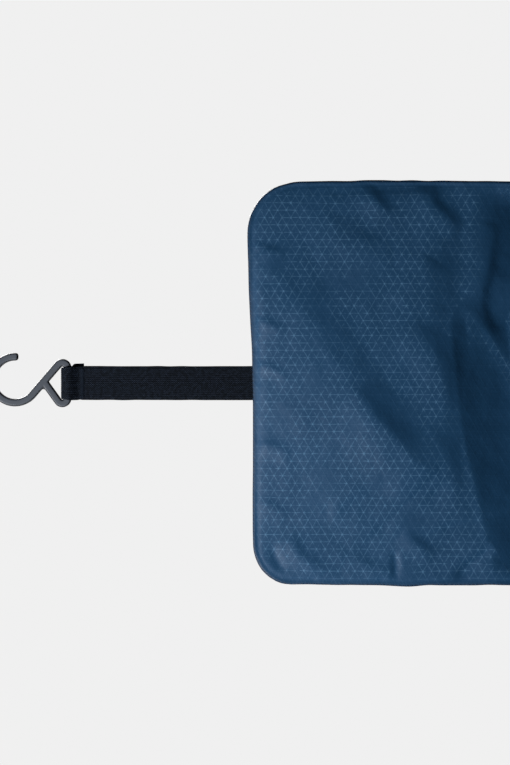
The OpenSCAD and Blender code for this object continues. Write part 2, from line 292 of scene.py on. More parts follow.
def tube_points(path: Array, radius: float, sides: int, across: Sequence[float]) -> Solid:
    """Round tube along a path: each ring is path + radius (cos a N + sin a B), N = T x across, B = T x N.

    Args:
        path: Centre points, shape (n, 3).
        radius: Tube radius.
        sides: Points in each ring.
        across: A direction that the path never runs along.

    Returns:
        Vertices and faces, with a flat cap at each end.
    """
    tangent = np.gradient(path, axis=0)
    tangent /= np.linalg.norm(tangent, axis=1, keepdims=True)
    normal = np.cross(tangent, np.asarray(across, float))
    normal /= np.linalg.norm(normal, axis=1, keepdims=True)
    other = np.cross(tangent, normal)
    angle = np.linspace(0, 2 * math.pi, sides, endpoint=False)[None, :, None]
    rings = path[:, None] + radius * (np.cos(angle) * normal[:, None] + np.sin(angle) * other[:, None])
    quads = grid_faces(len(path), sides, wrap_columns=True)
    first = np.arange(sides)[None, ::-1]
    last = np.arange(sides)[None, :] + (len(path) - 1) * sides
    return rings.reshape(-1, 3), [quads, first, last]


def joined(parts: Sequence[Solid]) -> Solid:
    """Several closed parts as one set of vertices and faces, each turned outwards first.

    Args:
        parts: Vertices and faces of each part.

    Returns:
        All vertices, and faces numbered to match.
    """
    points, faces, offset = [], [], 0
    for part_points, part_faces in parts:
        turned = signed_volume(part_points, part_faces) < 0
        faces += [(group[:, ::-1] if turned else group) + offset for group in part_faces]
        points.append(part_points)
        offset += len(part_points)
    return np.concatenate(points), faces


@dataclass(frozen=True)
class Loop:
    """Closed rounded rectangle in the XZ plane, walked once round.

    Attributes:
        low: Lowest x and z.
        high: Highest x and z.
        radius: Corner radius.
        step: Spacing of the points.
    """

    low: Pair
    high: Pair
    radius: float
    step: float

    def walk(self) -> tuple[Array, Array, Array]:
        """Points round the loop: the distance along it picks a side or a corner arc.

        Returns:
            Points (n, 2), outward normals (n, 2) and distances along the loop (n,).
        """
        r = self.radius
        width, height = self.high[0] - self.low[0] - 2 * r, self.high[1] - self.low[1] - 2 * r
        arc = r * math.pi / 2
        lengths = np.array([width, arc, height, arc, width, arc, height, arc])
        ends = np.cumsum(lengths)
        s = np.linspace(0, ends[-1], round(ends[-1] / self.step), endpoint=False)
        k = np.searchsorted(ends, s, side="right")
        along = s - (ends - lengths)[k]
        turn = np.where(k % 2 == 1, along / r, 0.0) + (k // 2) * math.pi / 2
        straight = np.where(k % 2 == 0, along, lengths[k - (k % 2)])
        normal = np.stack([np.sin(turn), np.cos(turn)], -1)
        tangent = np.array([[1, 0], [0, -1], [-1, 0], [0, 1]])[(k // 2) % 4]
        corner = np.array(
            [
                [self.low[0] + r, self.high[1] - r],
                [self.high[0] - r, self.high[1] - r],
                [self.high[0] - r, self.low[1] + r],
                [self.low[0] + r, self.low[1] + r],
            ]
        )[(k // 2) % 4]
        return corner + tangent * straight[:, None] + normal * r, normal, s


def band_object(name: str, loop: Loop, section: Array, depth: Array) -> bpy.types.Object:
    """Closed band: a closed section carried round a loop, and joined to itself.

    Args:
        name: Name of the piece.
        loop: The loop in XZ.
        section: How far each section point stands outside the loop, shape (m,) or (n, m).
        depth: The y of each section point, shape (m,).

    Returns:
        The new object. Its cloth coordinates run along the loop and round the section.
    """
    points, normal, s = loop.walk()
    count, size = len(points), len(depth)
    out = np.broadcast_to(section, (count, size))
    grid = np.empty((count, size, 3))
    grid[..., 0] = points[:, None, 0] + normal[:, None, 0] * out
    grid[..., 1] = depth
    grid[..., 2] = points[:, None, 1] + normal[:, None, 1] * out
    round_section = np.cumsum(np.r_[0, np.hypot(np.diff(out[0]), np.diff(depth))])
    uv = np.stack(np.broadcast_arrays(s[:, None], round_section[None, :]), -1)
    faces = [grid_faces(count, size, wrap_rows=True, wrap_columns=True)]
    return mesh_object(name, grid.reshape(-1, 3), faces, uv.reshape(-1, 2), sharp=60)


# ---------------------------------------------------------------- finishes


class Nodes:
    """One node material, put together a node at a time round a Principled shader."""

    def __init__(self, name: str) -> None:
        """Starts an empty material with its shader and output."""
        self.material = bpy.data.materials.new(name)
        self.material.use_nodes = True
        self.tree = self.material.node_tree
        self.tree.nodes.clear()
        self.shader = self.add("ShaderNodeBsdfPrincipled")
        output = self.add("ShaderNodeOutputMaterial")
        self.tree.links.new(self.shader.outputs["BSDF"], output.inputs["Surface"])

    def add(self, kind: str, **settings: Any) -> bpy.types.Node:
        """Adds a node and sets properties on it.

        Args:
            kind: Kind of node.
            settings: The properties, by name.

        Returns:
            The node.
        """
        node = self.tree.nodes.new(kind)
        for key, value in settings.items():
            setattr(node, key, value)
        return node

    def feed(self, socket: bpy.types.NodeSocket, value: Any) -> None:
        """Links or sets an input.

        Args:
            socket: The input.
            value: A socket to link to it, or a value to set on it.
        """
        if isinstance(value, bpy.types.NodeSocket):
            self.tree.links.new(value, socket)
        else:
            socket.default_value = value

    def surface(self, **inputs: Any) -> None:
        """Feeds the shader's inputs, named with underscores for spaces."""
        for key, value in inputs.items():
            self.feed(self.shader.inputs[key.replace("_", " ")], value)

    def math(self, operation: str, *values: Any) -> bpy.types.NodeSocket:
        """One arithmetic step.

        Args:
            operation: Name of the step.
            values: The sockets or numbers that it works on.

        Returns:
            Its result.
        """
        node = self.add("ShaderNodeMath", operation=operation)
        for socket, value in zip(node.inputs, values):
            self.feed(socket, value)
        return node.outputs[0]

    def fade(self, value: Any, low: float, high: float, top: Any = 1.0) -> bpy.types.NodeSocket:
        """Cubic step from 0 at low to top at high.

        Args:
            value: What is read.
            low: Where the step starts.
            high: Where it ends.
            top: Its height.

        Returns:
            The step.
        """
        node = self.add("ShaderNodeMapRange", interpolation_type="SMOOTHSTEP")
        for key, item in {"Value": value, "From Min": low, "From Max": high, "To Max": top}.items():
            self.feed(node.inputs[key], item)
        return node.outputs[0]

    def mix(self, factor: Any, first: Any, second: Any) -> bpy.types.NodeSocket:
        """Blend of two colours.

        Args:
            factor: Share of the second.
            first: First colour.
            second: Second colour.

        Returns:
            The blend.
        """
        node = self.add("ShaderNodeMix", data_type="RGBA")
        self.feed(node.inputs[0], factor)
        self.feed(node.inputs[6], first)
        self.feed(node.inputs[7], second)
        return node.outputs[2]

    def place(self) -> bpy.types.NodeSocket:
        """Object coordinates, in metres."""
        return self.add("ShaderNodeTexCoord").outputs["Object"]

    def cloth(self) -> tuple[bpy.types.NodeSocket, bpy.types.NodeSocket, bpy.types.NodeSocket]:
        """Cloth coordinates, in metres.

        Returns:
            The vector, the distance across the cloth and the distance along it.
        """
        vector = self.add("ShaderNodeUVMap", uv_map=CLOTH_UV).outputs[0]
        parts = self.add("ShaderNodeSeparateXYZ")
        self.feed(parts.inputs[0], vector)
        return vector, parts.outputs[0], parts.outputs[1]

    def noise(self, vector: Any, pitch: float, detail: float = 2.0) -> bpy.types.NodeSocket:
        """Smooth noise.

        Args:
            vector: Where it is read.
            pitch: Size of its features.
            detail: How many finer layers are added.

        Returns:
            The noise, 0 to 1.
        """
        node = self.add("ShaderNodeTexNoise")
        self.feed(node.inputs["Vector"], vector)
        self.feed(node.inputs["Scale"], 1.0 / pitch)
        self.feed(node.inputs["Detail"], detail)
        return node.outputs["Fac"]

    def wave(self, value: Any, pitch: float) -> bpy.types.NodeSocket:
        """Sine of that pitch along value, -1 to 1."""
        return self.math("SINE", self.math("MULTIPLY", value, 2 * math.pi / pitch))

    def attribute(self, name: str) -> bpy.types.NodeSocket:
        """A number stored on the piece's vertices."""
        return self.add("ShaderNodeAttribute", attribute_name=name).outputs["Fac"]

    def sum_of(self, *values: Any) -> bpy.types.NodeSocket:
        """Sum of several values.

        Args:
            values: Sockets or numbers.

        Returns:
            The sum.
        """
        total = values[0]
        for value in values[1:]:
            total = self.math("ADD", total, value)
        return total

    def times(self, first: Any, second: Any) -> bpy.types.NodeSocket:
        """Product of two values."""
        return self.math("MULTIPLY", first, second)

    def bump(self, height: Any) -> None:
        """Bumps the surface.

        Args:
            height: Height in metres.
        """
        node = self.add("ShaderNodeBump")
        self.feed(node.inputs["Height"], height)
        self.feed(node.inputs["Distance"], 1.0)
        self.feed(node.inputs["Strength"], 1.0)
        self.surface(Normal=node.outputs[0])


def colour(red: float, green: float, blue: float) -> tuple[float, float, float, float]:
    """Linear colour from display values, 0 to 255: straight up to 10, and a power law above it.

    Args:
        red: Red.
        green: Green.
        blue: Blue.

    Returns:
        Linear red, green and blue, and an alpha of 1.
    """
    shown = (red, green, blue)
    linear = [((c / 255 + 0.055) / 1.055) ** 2.4 if c > 10 else c / 3295 for c in shown]
    return (*linear, 1.0)


def store(obj: bpy.types.Object, name: str, values: Array) -> None:
    """Stores a number on each vertex of a piece.

    Args:
        obj: The piece.
        name: Name of the attribute.
        values: One number for each vertex.
    """
    attribute = obj.data.attributes.new(name, "FLOAT", "POINT")
    attribute.data.foreach_set("value", values.ravel().astype(np.float32))


@dataclass(frozen=True)
class Ripstop:
    """Coated nylon with a triangular ripstop grid, brighter where its threads meet; their lighter colour is a
    painted glint.

    Attributes:
        name: Name of the material.
        base: Colour of the cloth.
        shade: Darker tone that it drifts to.
        thread: Colour of the ripstop's threads: a real grid, its lighter colour a painted glint.
        hem: Painted shade along the rolled edge, mixed with the dark dashes of its stitching.
        pitch: Distance between parallel threads.
        weave: Spacing of the plain weave between them.
        line_share: How much of the thread's colour a thread shows.
        knot_share: How much more it shows where threads cross.
        slanted_share: Strength of the slanted threads beside the straight ones.
        wander: How far the threads stray from straight.
    """

    name: str = "ripstop"
    base: tuple = colour(19, 62, 96)
    shade: tuple = colour(14, 55, 87)
    thread: tuple = colour(74, 112, 144)
    hem: tuple = colour(13, 24, 40)
    pitch: float = 4.33 * MM
    weave: float = 0.46 * MM
    line_share: float = 0.50
    knot_share: float = 0.38
    slanted_share: float = 0.9
    wander: float = 0.9 * MM

    def build(self) -> bpy.types.Material:
        """The material: three families of lines 60 degrees apart, a fine weave and soft crinkles."""
        n = Nodes(self.name)
        vector, across, along = n.cloth()
        stray = n.times(n.math("SUBTRACT", n.noise(vector, 22 * MM), 0.5), self.wander)
        across = n.math("ADD", across, stray)
        lines, far = [], []
        for angle in (0.0, math.pi / 3, -math.pi / 3):
            turned = n.sum_of(n.times(across, math.cos(angle)), n.times(along, math.sin(angle)))
            cell = n.math("PINGPONG", n.times(turned, 1.0 / self.pitch), 0.5)
            lines.append(n.fade(cell, 0.10, 0.0))
            far.append(cell)
        broken = n.fade(n.noise(vector, 2.1 * MM, 1.0), 0.30, 0.62)
        patches = n.fade(n.noise(vector, 24 * MM, 2.0), 0.25, 0.50)
        slanted = n.times(n.math("MAXIMUM", lines[1], lines[2]), self.slanted_share)
        line = n.math("MAXIMUM", lines[0], slanted)
        knots = n.fade(n.sum_of(*far), 0.34, 0.06)
        threads = n.times(n.times(line, broken), self.line_share)
        # painted glint: the threads and knots show their lighter colour in random patches, and most where the
        # cloth faces the key lamp
        seen = n.times(n.sum_of(threads, n.times(knots, self.knot_share)), patches)
        seen = n.times(seen, n.attribute("painted_glint"))
        tone = n.mix(n.noise(vector, 34 * MM, 3.0), self.shade, self.base)
        tone = n.mix(seen, tone, self.thread)
        # painted shade on the rolled edge: the hem attribute darkens the turned edge, broken into stitch
        # dashes
        stitch = n.fade(n.wave(n.sum_of(across, along), 2.4 * MM), -0.7, 0.5, 0.35)
        edge = n.times(n.attribute("hem"), n.math("SUBTRACT", 1.0, stitch))
        tone = n.mix(edge, tone, self.hem)
        weave = n.times(n.times(n.wave(across, self.weave), n.wave(along, self.weave)), 0.010 * MM)
        crinkle = n.times(n.noise(vector, 7 * MM, 4.0), 0.30 * MM)
        n.bump(n.sum_of(weave, crinkle, n.times(line, 0.02 * MM), n.times(knots, 0.03 * MM)))
        roughness = n.math("SUBTRACT", 0.58, n.times(seen, 0.16))
        n.surface(Base_Color=tone, Roughness=roughness, Specular_IOR_Level=0.3)
        return n.material


@dataclass(frozen=True)
class Taffeta:
    """Plain woven lining with a soft gloss.

    Attributes:
        name: Name of the material.
        base: Lighter tone.
        dark: Darker tone.
        weave: Spacing of the warp.
        weft_stretch: Spacing of the weft, as a share of the warp's.
    """

    name: str = "lining"
    base: tuple = colour(118, 127, 138)
    dark: tuple = colour(98, 107, 119)
    weave: float = 0.5 * MM
    weft_stretch: float = 1.15

    def build(self) -> bpy.types.Material:
        """The material: crossed threads of slightly different brightness, and soft crinkles."""
        n = Nodes(self.name)
        vector, across, along = n.cloth()
        warp = n.wave(across, self.weave)
        weft = n.wave(along, self.weave * self.weft_stretch)
        slub = n.noise(vector, 9 * MM, 3.0)
        tone = n.mix(n.sum_of(n.times(n.times(warp, weft), 0.25), n.times(slub, 0.8)), self.dark, self.base)
        crinkle = n.times(n.noise(vector, 8 * MM, 4.0), 0.35 * MM)
        n.bump(n.sum_of(n.times(n.times(warp, weft), 0.012 * MM), crinkle))
        n.surface(Base_Color=tone, Roughness=0.6, Specular_IOR_Level=0.3)
        n.surface(Sheen_Weight=0.15, Sheen_Roughness=0.4)
        return n.material


@dataclass(frozen=True)
class Ribbed:
    """Woven tape: ribs along or across it, crossed by the picks of its weft.

    Attributes:
        name: Name of the material.
        base: Colour of the raised dots.
        dark: Colour between them.
        rib: Spacing of the ribs.
        pick: Spacing of the picks.
        depth: Height of the ribs.
        roughness: Roughness of the yarn.
    """

    name: str
    base: tuple
    dark: tuple
    rib: float
    pick: float
    depth: float = 0.05 * MM
    roughness: float = 0.78

    def build(self) -> bpy.types.Material:
        """The material: worn dots where ribs and picks meet, with a few lighter hairs."""
        n = Nodes(self.name)
        vector, across, along = n.cloth()
        rib, pick = n.wave(across, self.rib), n.wave(along, self.pick)
        worn = n.fade(n.noise(vector, 2.0 * MM, 3.0), 0.36, 0.66, 0.8)
        dots = n.times(n.fade(n.times(rib, pick), -0.1, 0.8), n.math("ADD", worn, 0.2))
        hair = n.fade(n.noise(vector, 0.7 * MM, 3.0), 0.52, 0.78)
        tone = n.mix(n.math("MAXIMUM", n.times(dots, 0.85), n.times(hair, 0.7)), self.dark, self.base)
        grain = n.times(n.times(rib, pick), self.depth)
        n.bump(n.sum_of(n.times(rib, self.depth), grain, n.times(hair, 0.02 * MM)))
        n.surface(Base_Color=tone, Roughness=self.roughness, Specular_IOR_Level=0.08)
        return n.material


@dataclass(frozen=True)
class Moulded:
    """Moulded plastic, rubber or coil yarn with a fine spark-eroded grain.

    Attributes:
        name: Name of the material.
        base: Its colour.
        worn: Tone that it drifts to.
        roughness: Least roughness.
        grain: Size of the grain.
        depth: Depth of the grain.
        gloss: Strength of the highlights.
        side: Painted shade round the rounded sides, where a face is set.
        face: Distance of the two broad faces from y = 0, or 0 for one colour all round.
    """

    name: str
    base: tuple
    worn: tuple
    roughness: float = 0.5
    grain: float = 0.35 * MM
    depth: float = 0.012 * MM
    gloss: float = 0.4
    side: tuple = colour(24, 26, 30)
    face: float = 0.0

    def build(self) -> bpy.types.Material:
        """The material: grain in the bump, slow cloudiness in colour and gloss, and painted shade on the
        rounded sides.
        """
        n = Nodes(self.name)
        place = n.place()
        cloud = n.noise(place, 6 * MM, 3.0)
        n.bump(n.sum_of(n.times(n.noise(place, self.grain, 2.0), self.depth), n.times(cloud, 0.03 * MM)))
        tone = n.mix(cloud, self.base, self.worn)
        # painted shade: the rounded sides darken as |y| drops below the broad faces
        if self.face:
            split = n.add("ShaderNodeSeparateXYZ")
            n.feed(split.inputs[0], place)
            out = n.math("ABSOLUTE", split.outputs["Y"])
            rounded_from = 0.84 * self.face
            tone = n.mix(n.fade(out, rounded_from, self.face), self.side, tone)
        n.surface(Base_Color=tone, Specular_IOR_Level=self.gloss)
        n.surface(Roughness=n.sum_of(self.roughness, n.times(cloud, 0.12)))
        return n.material


@dataclass(frozen=True)
class Plated:
    """Dark nickel plate with fine rub marks.

    Attributes:
        name: Name of the material.
        base: Its colour.
        rubbed: Colour where it is rubbed.
    """

    name: str = "metal"
    base: tuple = colour(118, 122, 128)
    rubbed: tuple = colour(160, 163, 168)

    def build(self) -> bpy.types.Material:
        """The material: brighter where it is rubbed, with faint scratches."""
        n = Nodes(self.name)
        place = n.place()
        rub = n.fade(n.noise(place, 1.6 * MM, 4.0), 0.45, 0.7)
        n.bump(n.times(n.noise(place, 0.3 * MM, 3.0), 0.006 * MM))
        n.surface(Base_Color=n.mix(rub, self.base, self.rubbed), Metallic=1.0)
        n.surface(Roughness=n.math("SUBTRACT", 0.38, n.times(rub, 0.12)))
        return n.material


@dataclass
class Finishes:
    """Every finish of the bag, by the record's slot name.

    Attributes:
        made: The materials, once they are built.
        hook_face: Distance of the hook's broad faces from y = 0.
    """

    made: dict[str, bpy.types.Material] = field(default_factory=dict)
    hook_face: float = 2.46 * MM

    def build(self) -> "Finishes":
        """Builds each material once.

        Returns:
            Itself.
        """
        recipes = (
            Ripstop(),
            Taffeta(),
            Ribbed("webbing", colour(40, 49, 64), colour(2, 5, 10), 1.25 * MM, 1.3 * MM, 0.03 * MM),
            Ribbed("thread", colour(30, 38, 50), colour(15, 22, 32), 0.3 * MM, 0.4 * MM, 0.02 * MM),
            Moulded("net", colour(26, 30, 36), colour(38, 43, 50), 0.5, 0.2 * MM, 0.01 * MM, 0.4),
            Ribbed("binding", colour(34, 46, 64), colour(15, 23, 36), 0.95 * MM, 0.45 * MM, 0.05 * MM),
            Ribbed("zip_tape", colour(40, 45, 53), colour(20, 24, 30), 0.9 * MM, 0.8 * MM, 0.04 * MM),
            Moulded("zip_coil", colour(26, 29, 34), colour(36, 40, 46), 0.34, 0.2 * MM, 0.004 * MM, 0.5),
            Plated(),
            Moulded("grip", colour(36, 40, 46), colour(48, 52, 58), 0.62, 0.3 * MM, 0.02 * MM, 0.35),
            Moulded("hook_plastic", colour(60, 65, 73), colour(67, 72, 80), gloss=0.3, face=self.hook_face),
        )
        self.made = {recipe.name: recipe.build() for recipe in recipes}
        return self

    def dress(self, obj: bpy.types.Object, slot: str) -> bpy.types.Object:
        """Gives a new piece that slot's material, which bears the slot's name.

        Args:
            obj: The piece.
            slot: Slot of its material.

        Returns:
            The same piece.
        """
        obj.data.materials.clear()
        obj.data.materials.append(self.made[slot])
        return obj

    def dress_node(self, node: str, slot: str, voxel: float, smoothing: int) -> None:
        """Gives a CAD node its material, and softens its edges as moulding or casting does.

        Args:
            node: Name of the CAD node.
            slot: Slot of its material.
            voxel: Size of the remesh.
            smoothing: How many smoothing passes follow.
        """
        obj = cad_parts[node]
        for index in range(len(obj.material_slots)):
            obj.material_slots[index].material = self.made[slot]
        remesh = obj.modifiers.new("soft_edges", "REMESH")
        remesh.mode = "VOXEL"
        remesh.voxel_size = voxel
        remesh.use_smooth_shade = True
        smooth = obj.modifiers.new("polish", "SMOOTH")
        smooth.factor = 0.5
        smooth.iterations = smoothing
        shrinkage = 0.28
        grow = obj.modifiers.new("full_size", "DISPLACE")
        grow.mid_level = 0.0
        grow.strength = shrinkage * voxel * math.sqrt(smoothing)
        log.info("dressed %s", node)


# ---------------------------------------------------------------- studio


@dataclass
class Studio:
    """Camera, light and floor.

    Attributes:
        view_height: Long side of what the camera sees at the bag, in metres.
        aim: Point that the camera looks at.
        lens: Focal length in millimetres.
        sensor: Long side of the sensor in millimetres.
        backdrop: Brightness of the backdrop as the camera sees it.
        ambient: Brightness of it as light on the bag.
        floor_radius: Radius of the floor.
        floor_drop: How far the floor lies below the bag.
    """

    view_height: float = 450 * MM
    aim: tuple[float, float, float] = (1.65 * MM, 1.5 * MM, -141.2 * MM)
    lens: float = 100.0
    sensor: float = 36.0
    backdrop: float = 0.871
    ambient: float = 0.02
    floor_radius: float = 2.6
    floor_drop: float = 45 * MM

    def build(self) -> None:
        """Camera first, then the backdrop, the lights and the floor."""
        self.camera()
        self.sky()
        low, high = CAD_BOX[0].z, CAD_BOX[1].z
        top = Vector(self.aim)
        middle = Vector((top.x, 0, (low + high) / 2))
        lower = Vector((top.x, 0, low * 0.85))
        self.lamp("key", top, place=(0.46, 0.55, 0.55), watts=14.6, size=0.24)
        self.lamp("lower_key", lower, place=(0.45, 0.50, -0.05), watts=0.14, size=0.25, spread=34.0)
        self.lamp("pocket_key", middle, place=(-0.7, -0.9, 0.8), watts=64.0, size=0.5)
        self.lamp("pocket_fill", middle, place=(1.2, -1.3, -0.3), watts=22.0, size=1.0)
        self.floor()
        bpy.context.scene.view_settings.view_transform = "Standard"

    def camera(self) -> None:
        """Camera on the outer side, turned a quarter so that the hook lies to the left."""
        data = bpy.data.cameras.new("camera")
        data.lens, data.sensor_width = self.lens, self.sensor
        distance = self.view_height * self.lens / self.sensor
        right, up, back = Vector((0, 0, -1)), Vector((-1, 0, 0)), Vector((0, 1, 0))
        turn = Matrix((right, up, back)).transposed().to_4x4()
        obj = bpy.data.objects.new("camera", data)
        obj.matrix_world = Matrix.Translation(Vector(self.aim) + back * distance) @ turn
        bpy.context.scene.collection.objects.link(obj)
        bpy.context.scene.camera = obj

    def sky(self) -> None:
        """Even pale backdrop, which lights the bag less than it shows."""
        world = bpy.data.worlds.new("studio")
        bpy.context.scene.world = world
        world.use_nodes = True
        nodes, links = world.node_tree.nodes, world.node_tree.links
        nodes.clear()
        seen, lit = nodes.new("ShaderNodeBackground"), nodes.new("ShaderNodeBackground")
        seen.inputs["Color"].default_value = (self.backdrop,) * 3 + (1.0,)
        lit.inputs["Color"].default_value = (self.ambient,) * 3 + (1.0,)
        path, mix = nodes.new("ShaderNodeLightPath"), nodes.new("ShaderNodeMixShader")
        output = nodes.new("ShaderNodeOutputWorld")
        links.new(path.outputs["Is Camera Ray"], mix.inputs[0])
        links.new(lit.outputs[0], mix.inputs[1])
        links.new(seen.outputs[0], mix.inputs[2])
        links.new(mix.outputs[0], output.inputs["Surface"])

    def lamp(
        self,
        name: str,
        aim: Vector,
        place: tuple[float, float, float],
        watts: float,
        size: float,
        spread: float = 180.0,
    ) -> None:
        """Soft square light.

        Args:
            name: Name of the light.
            aim: Point that it is aimed at.
            place: Where it stands, from that point.
            watts: Its power.
            size: Its side, in metres.
            spread: Angle of its beam, in degrees.
        """
        data = bpy.data.lights.new(name, "AREA")
        data.energy, data.size, data.spread = watts, size, math.radians(spread)
        obj = bpy.data.objects.new(name, data)
        obj.location = aim + Vector(place)
        obj.rotation_euler = (-Vector(place)).to_track_quat("-Z", "Y").to_euler()
        bpy.context.scene.collection.objects.link(obj)

    def floor(self) -> None:
        """Pale disc just below the bag, which glows evenly and throws no light back on it."""
        sides = 96
        angle = np.linspace(0, 2 * math.pi, sides, endpoint=False)
        height = np.full(sides, CAD_BOX[0].z - self.floor_drop)
        points = np.stack([self.floor_radius * np.cos(angle), self.floor_radius * np.sin(angle), height], -1)
        mesh = bpy.data.meshes.new("floor")
        mesh.from_pydata(points.tolist(), [], [list(range(sides))])
        obj = bpy.data.objects.new("floor", mesh)
        bpy.context.scene.collection.objects.link(obj)
        n = Nodes("floor")
        tone = n.mix(n.noise(n.place(), 0.3, 4.0), (0.72, 0.72, 0.73, 1.0), (0.78, 0.78, 0.78, 1.0))
        n.surface(Base_Color=(0.03, 0.03, 0.03, 1.0), Roughness=0.9, Specular_IOR_Level=0.0)
        n.surface(Emission_Color=tone, Emission_Strength=1.0)
        mesh.materials.append(n.material)
        obj.visible_diffuse = False
        obj.visible_glossy = False


# ---------------------------------------------------------------- the bag's cloth


@dataclass(frozen=True)
class Crease:
    """Soft ridge in the cloth along a smooth line, in millimetres.

    Attributes:
        line: Points (x, z) that it runs through.
        height: How far it stands out, less than 0 for a dent.
        left: Width of its slope on the left of its direction of travel, with x right and z up.
        right: Width of its slope on the right.
    """

    line: tuple[Pair, ...]
    height: float
    left: float
    right: float

    def lift(self, x: Array, z: Array) -> Array:
        """Height at each point: height x taper x exp(-(distance / width)^2), width by side.

        Args:
            x: First coordinate, in metres.
            z: Second coordinate, in metres.

        Returns:
            Height in metres.
        """
        path = smooth_line(self.line, 28) * MM
        best = np.full(x.shape, np.inf)
        side, share = np.zeros(x.shape), np.zeros(x.shape)
        for k in range(len(path) - 1):
            a, d = path[k], path[k + 1] - path[k]
            dx, dz = x - a[0], z - a[1]
            t = np.clip((dx * d[0] + dz * d[1]) / (d @ d), 0, 1)
            gap = (dx - t * d[0]) ** 2 + (dz - t * d[1]) ** 2
            nearer = gap < best
            best = np.where(nearer, gap, best)
            side = np.where(nearer, d[0] * dz - d[1] * dx, side)
            share = np.where(nearer, (k + t) / (len(path) - 1), share)
        width = np.where(side > 0, self.left, self.right) * MM
        taper = np.sin(np.pi * np.clip(share, 0.0, 1.0)) ** 0.55
        return self.height * MM * taper * np.exp(-best / width**2)


TOP_PANEL_CREASES = (
    Crease(
        ((-74, -146), (-48, -162), (-20, -179), (4, -195), (22, -208), (40, -226), (58, -244)), 2.9, 48, 18
    ),
    Crease(((6, -198), (22, -210), (38, -224), (50, -236), (62, -250)), 1.9, 18, 8.5),
    Crease(((-112, -238), (-50, -241), (-10, -247), (30, -252), (84, -266)), 3.3, 50, 17),
    Crease(((-34, -233), (-20, -241), (-2, -250), (20, -254)), 0.8, 13, 7.0),
    Crease(((28, -242), (44, -250), (62, -256), (84, -260)), 1.1, 12, 7.0),
    Crease(((-118, -206), (-106, -212), (-96, -220)), 1.1, 8, 3.8),
    Crease(((-118, -244), (-104, -245), (-96, -252), (-88, -262)), 1.6, 11, 4.8),
    Crease(((-26, -256), (-36, -260), (-40, -266), (-33, -274), (-14, -286), (4, -300)), 0.9, 9, 5.5),
    Crease(((-96, -178), (-84, -196), (-66, -220)), 0.8, 16, 9.0),
    Crease(((-72, -244), (-60, -236), (-46, -222)), 0.7, 6, 12.0),
    Crease(((58, -216), (69, -193), (84, -187)), 0.6, 4, 5.0),
    Crease(((92, -160), (104, -168), (114, -182)), 0.9, 6, 4.0),
    Crease(((104, -196), (110, -208), (114, -222)), 0.7, 6, 4.0),
    Crease(((90, -228), (97, -236), (104, -246)), 0.9, 6, 4.0),
    Crease(((100, -223), (108, -224), (118, -224)), -0.8, 2.4, 2.4),
    Crease(((98, -151), (106, -154), (113, -158)), -0.7, 3.0, 3.0),
    Crease(((121, -257), (110, -267), (99, -281)), -1.6, 3.4, 3.4),
    Crease(((-78, -138), (-77, -148), (-73, -162)), 0.6, 5, 3.0),
    Crease(((-34, -138), (-33, -148), (-28, -160)), 0.6, 5, 3.0),
    Crease(((-8, -139), (-7, -148), (-2, -160)), 0.5, 4, 2.6),
    Crease(((38, -139), (39, -150), (44, -162)), 0.6, 5, 3.0),
    Crease(((72, -139), (74, -149), (80, -160)), 0.5, 6, 3.0),
    Crease(((-36, -276), (-22, -284), (-6, -297)), 0.5, 3.6, 9.0),
    Crease(((-92, -282), (-66, -278), (-44, -274), (-24, -283)), 1.2, 9, 4.0),
)


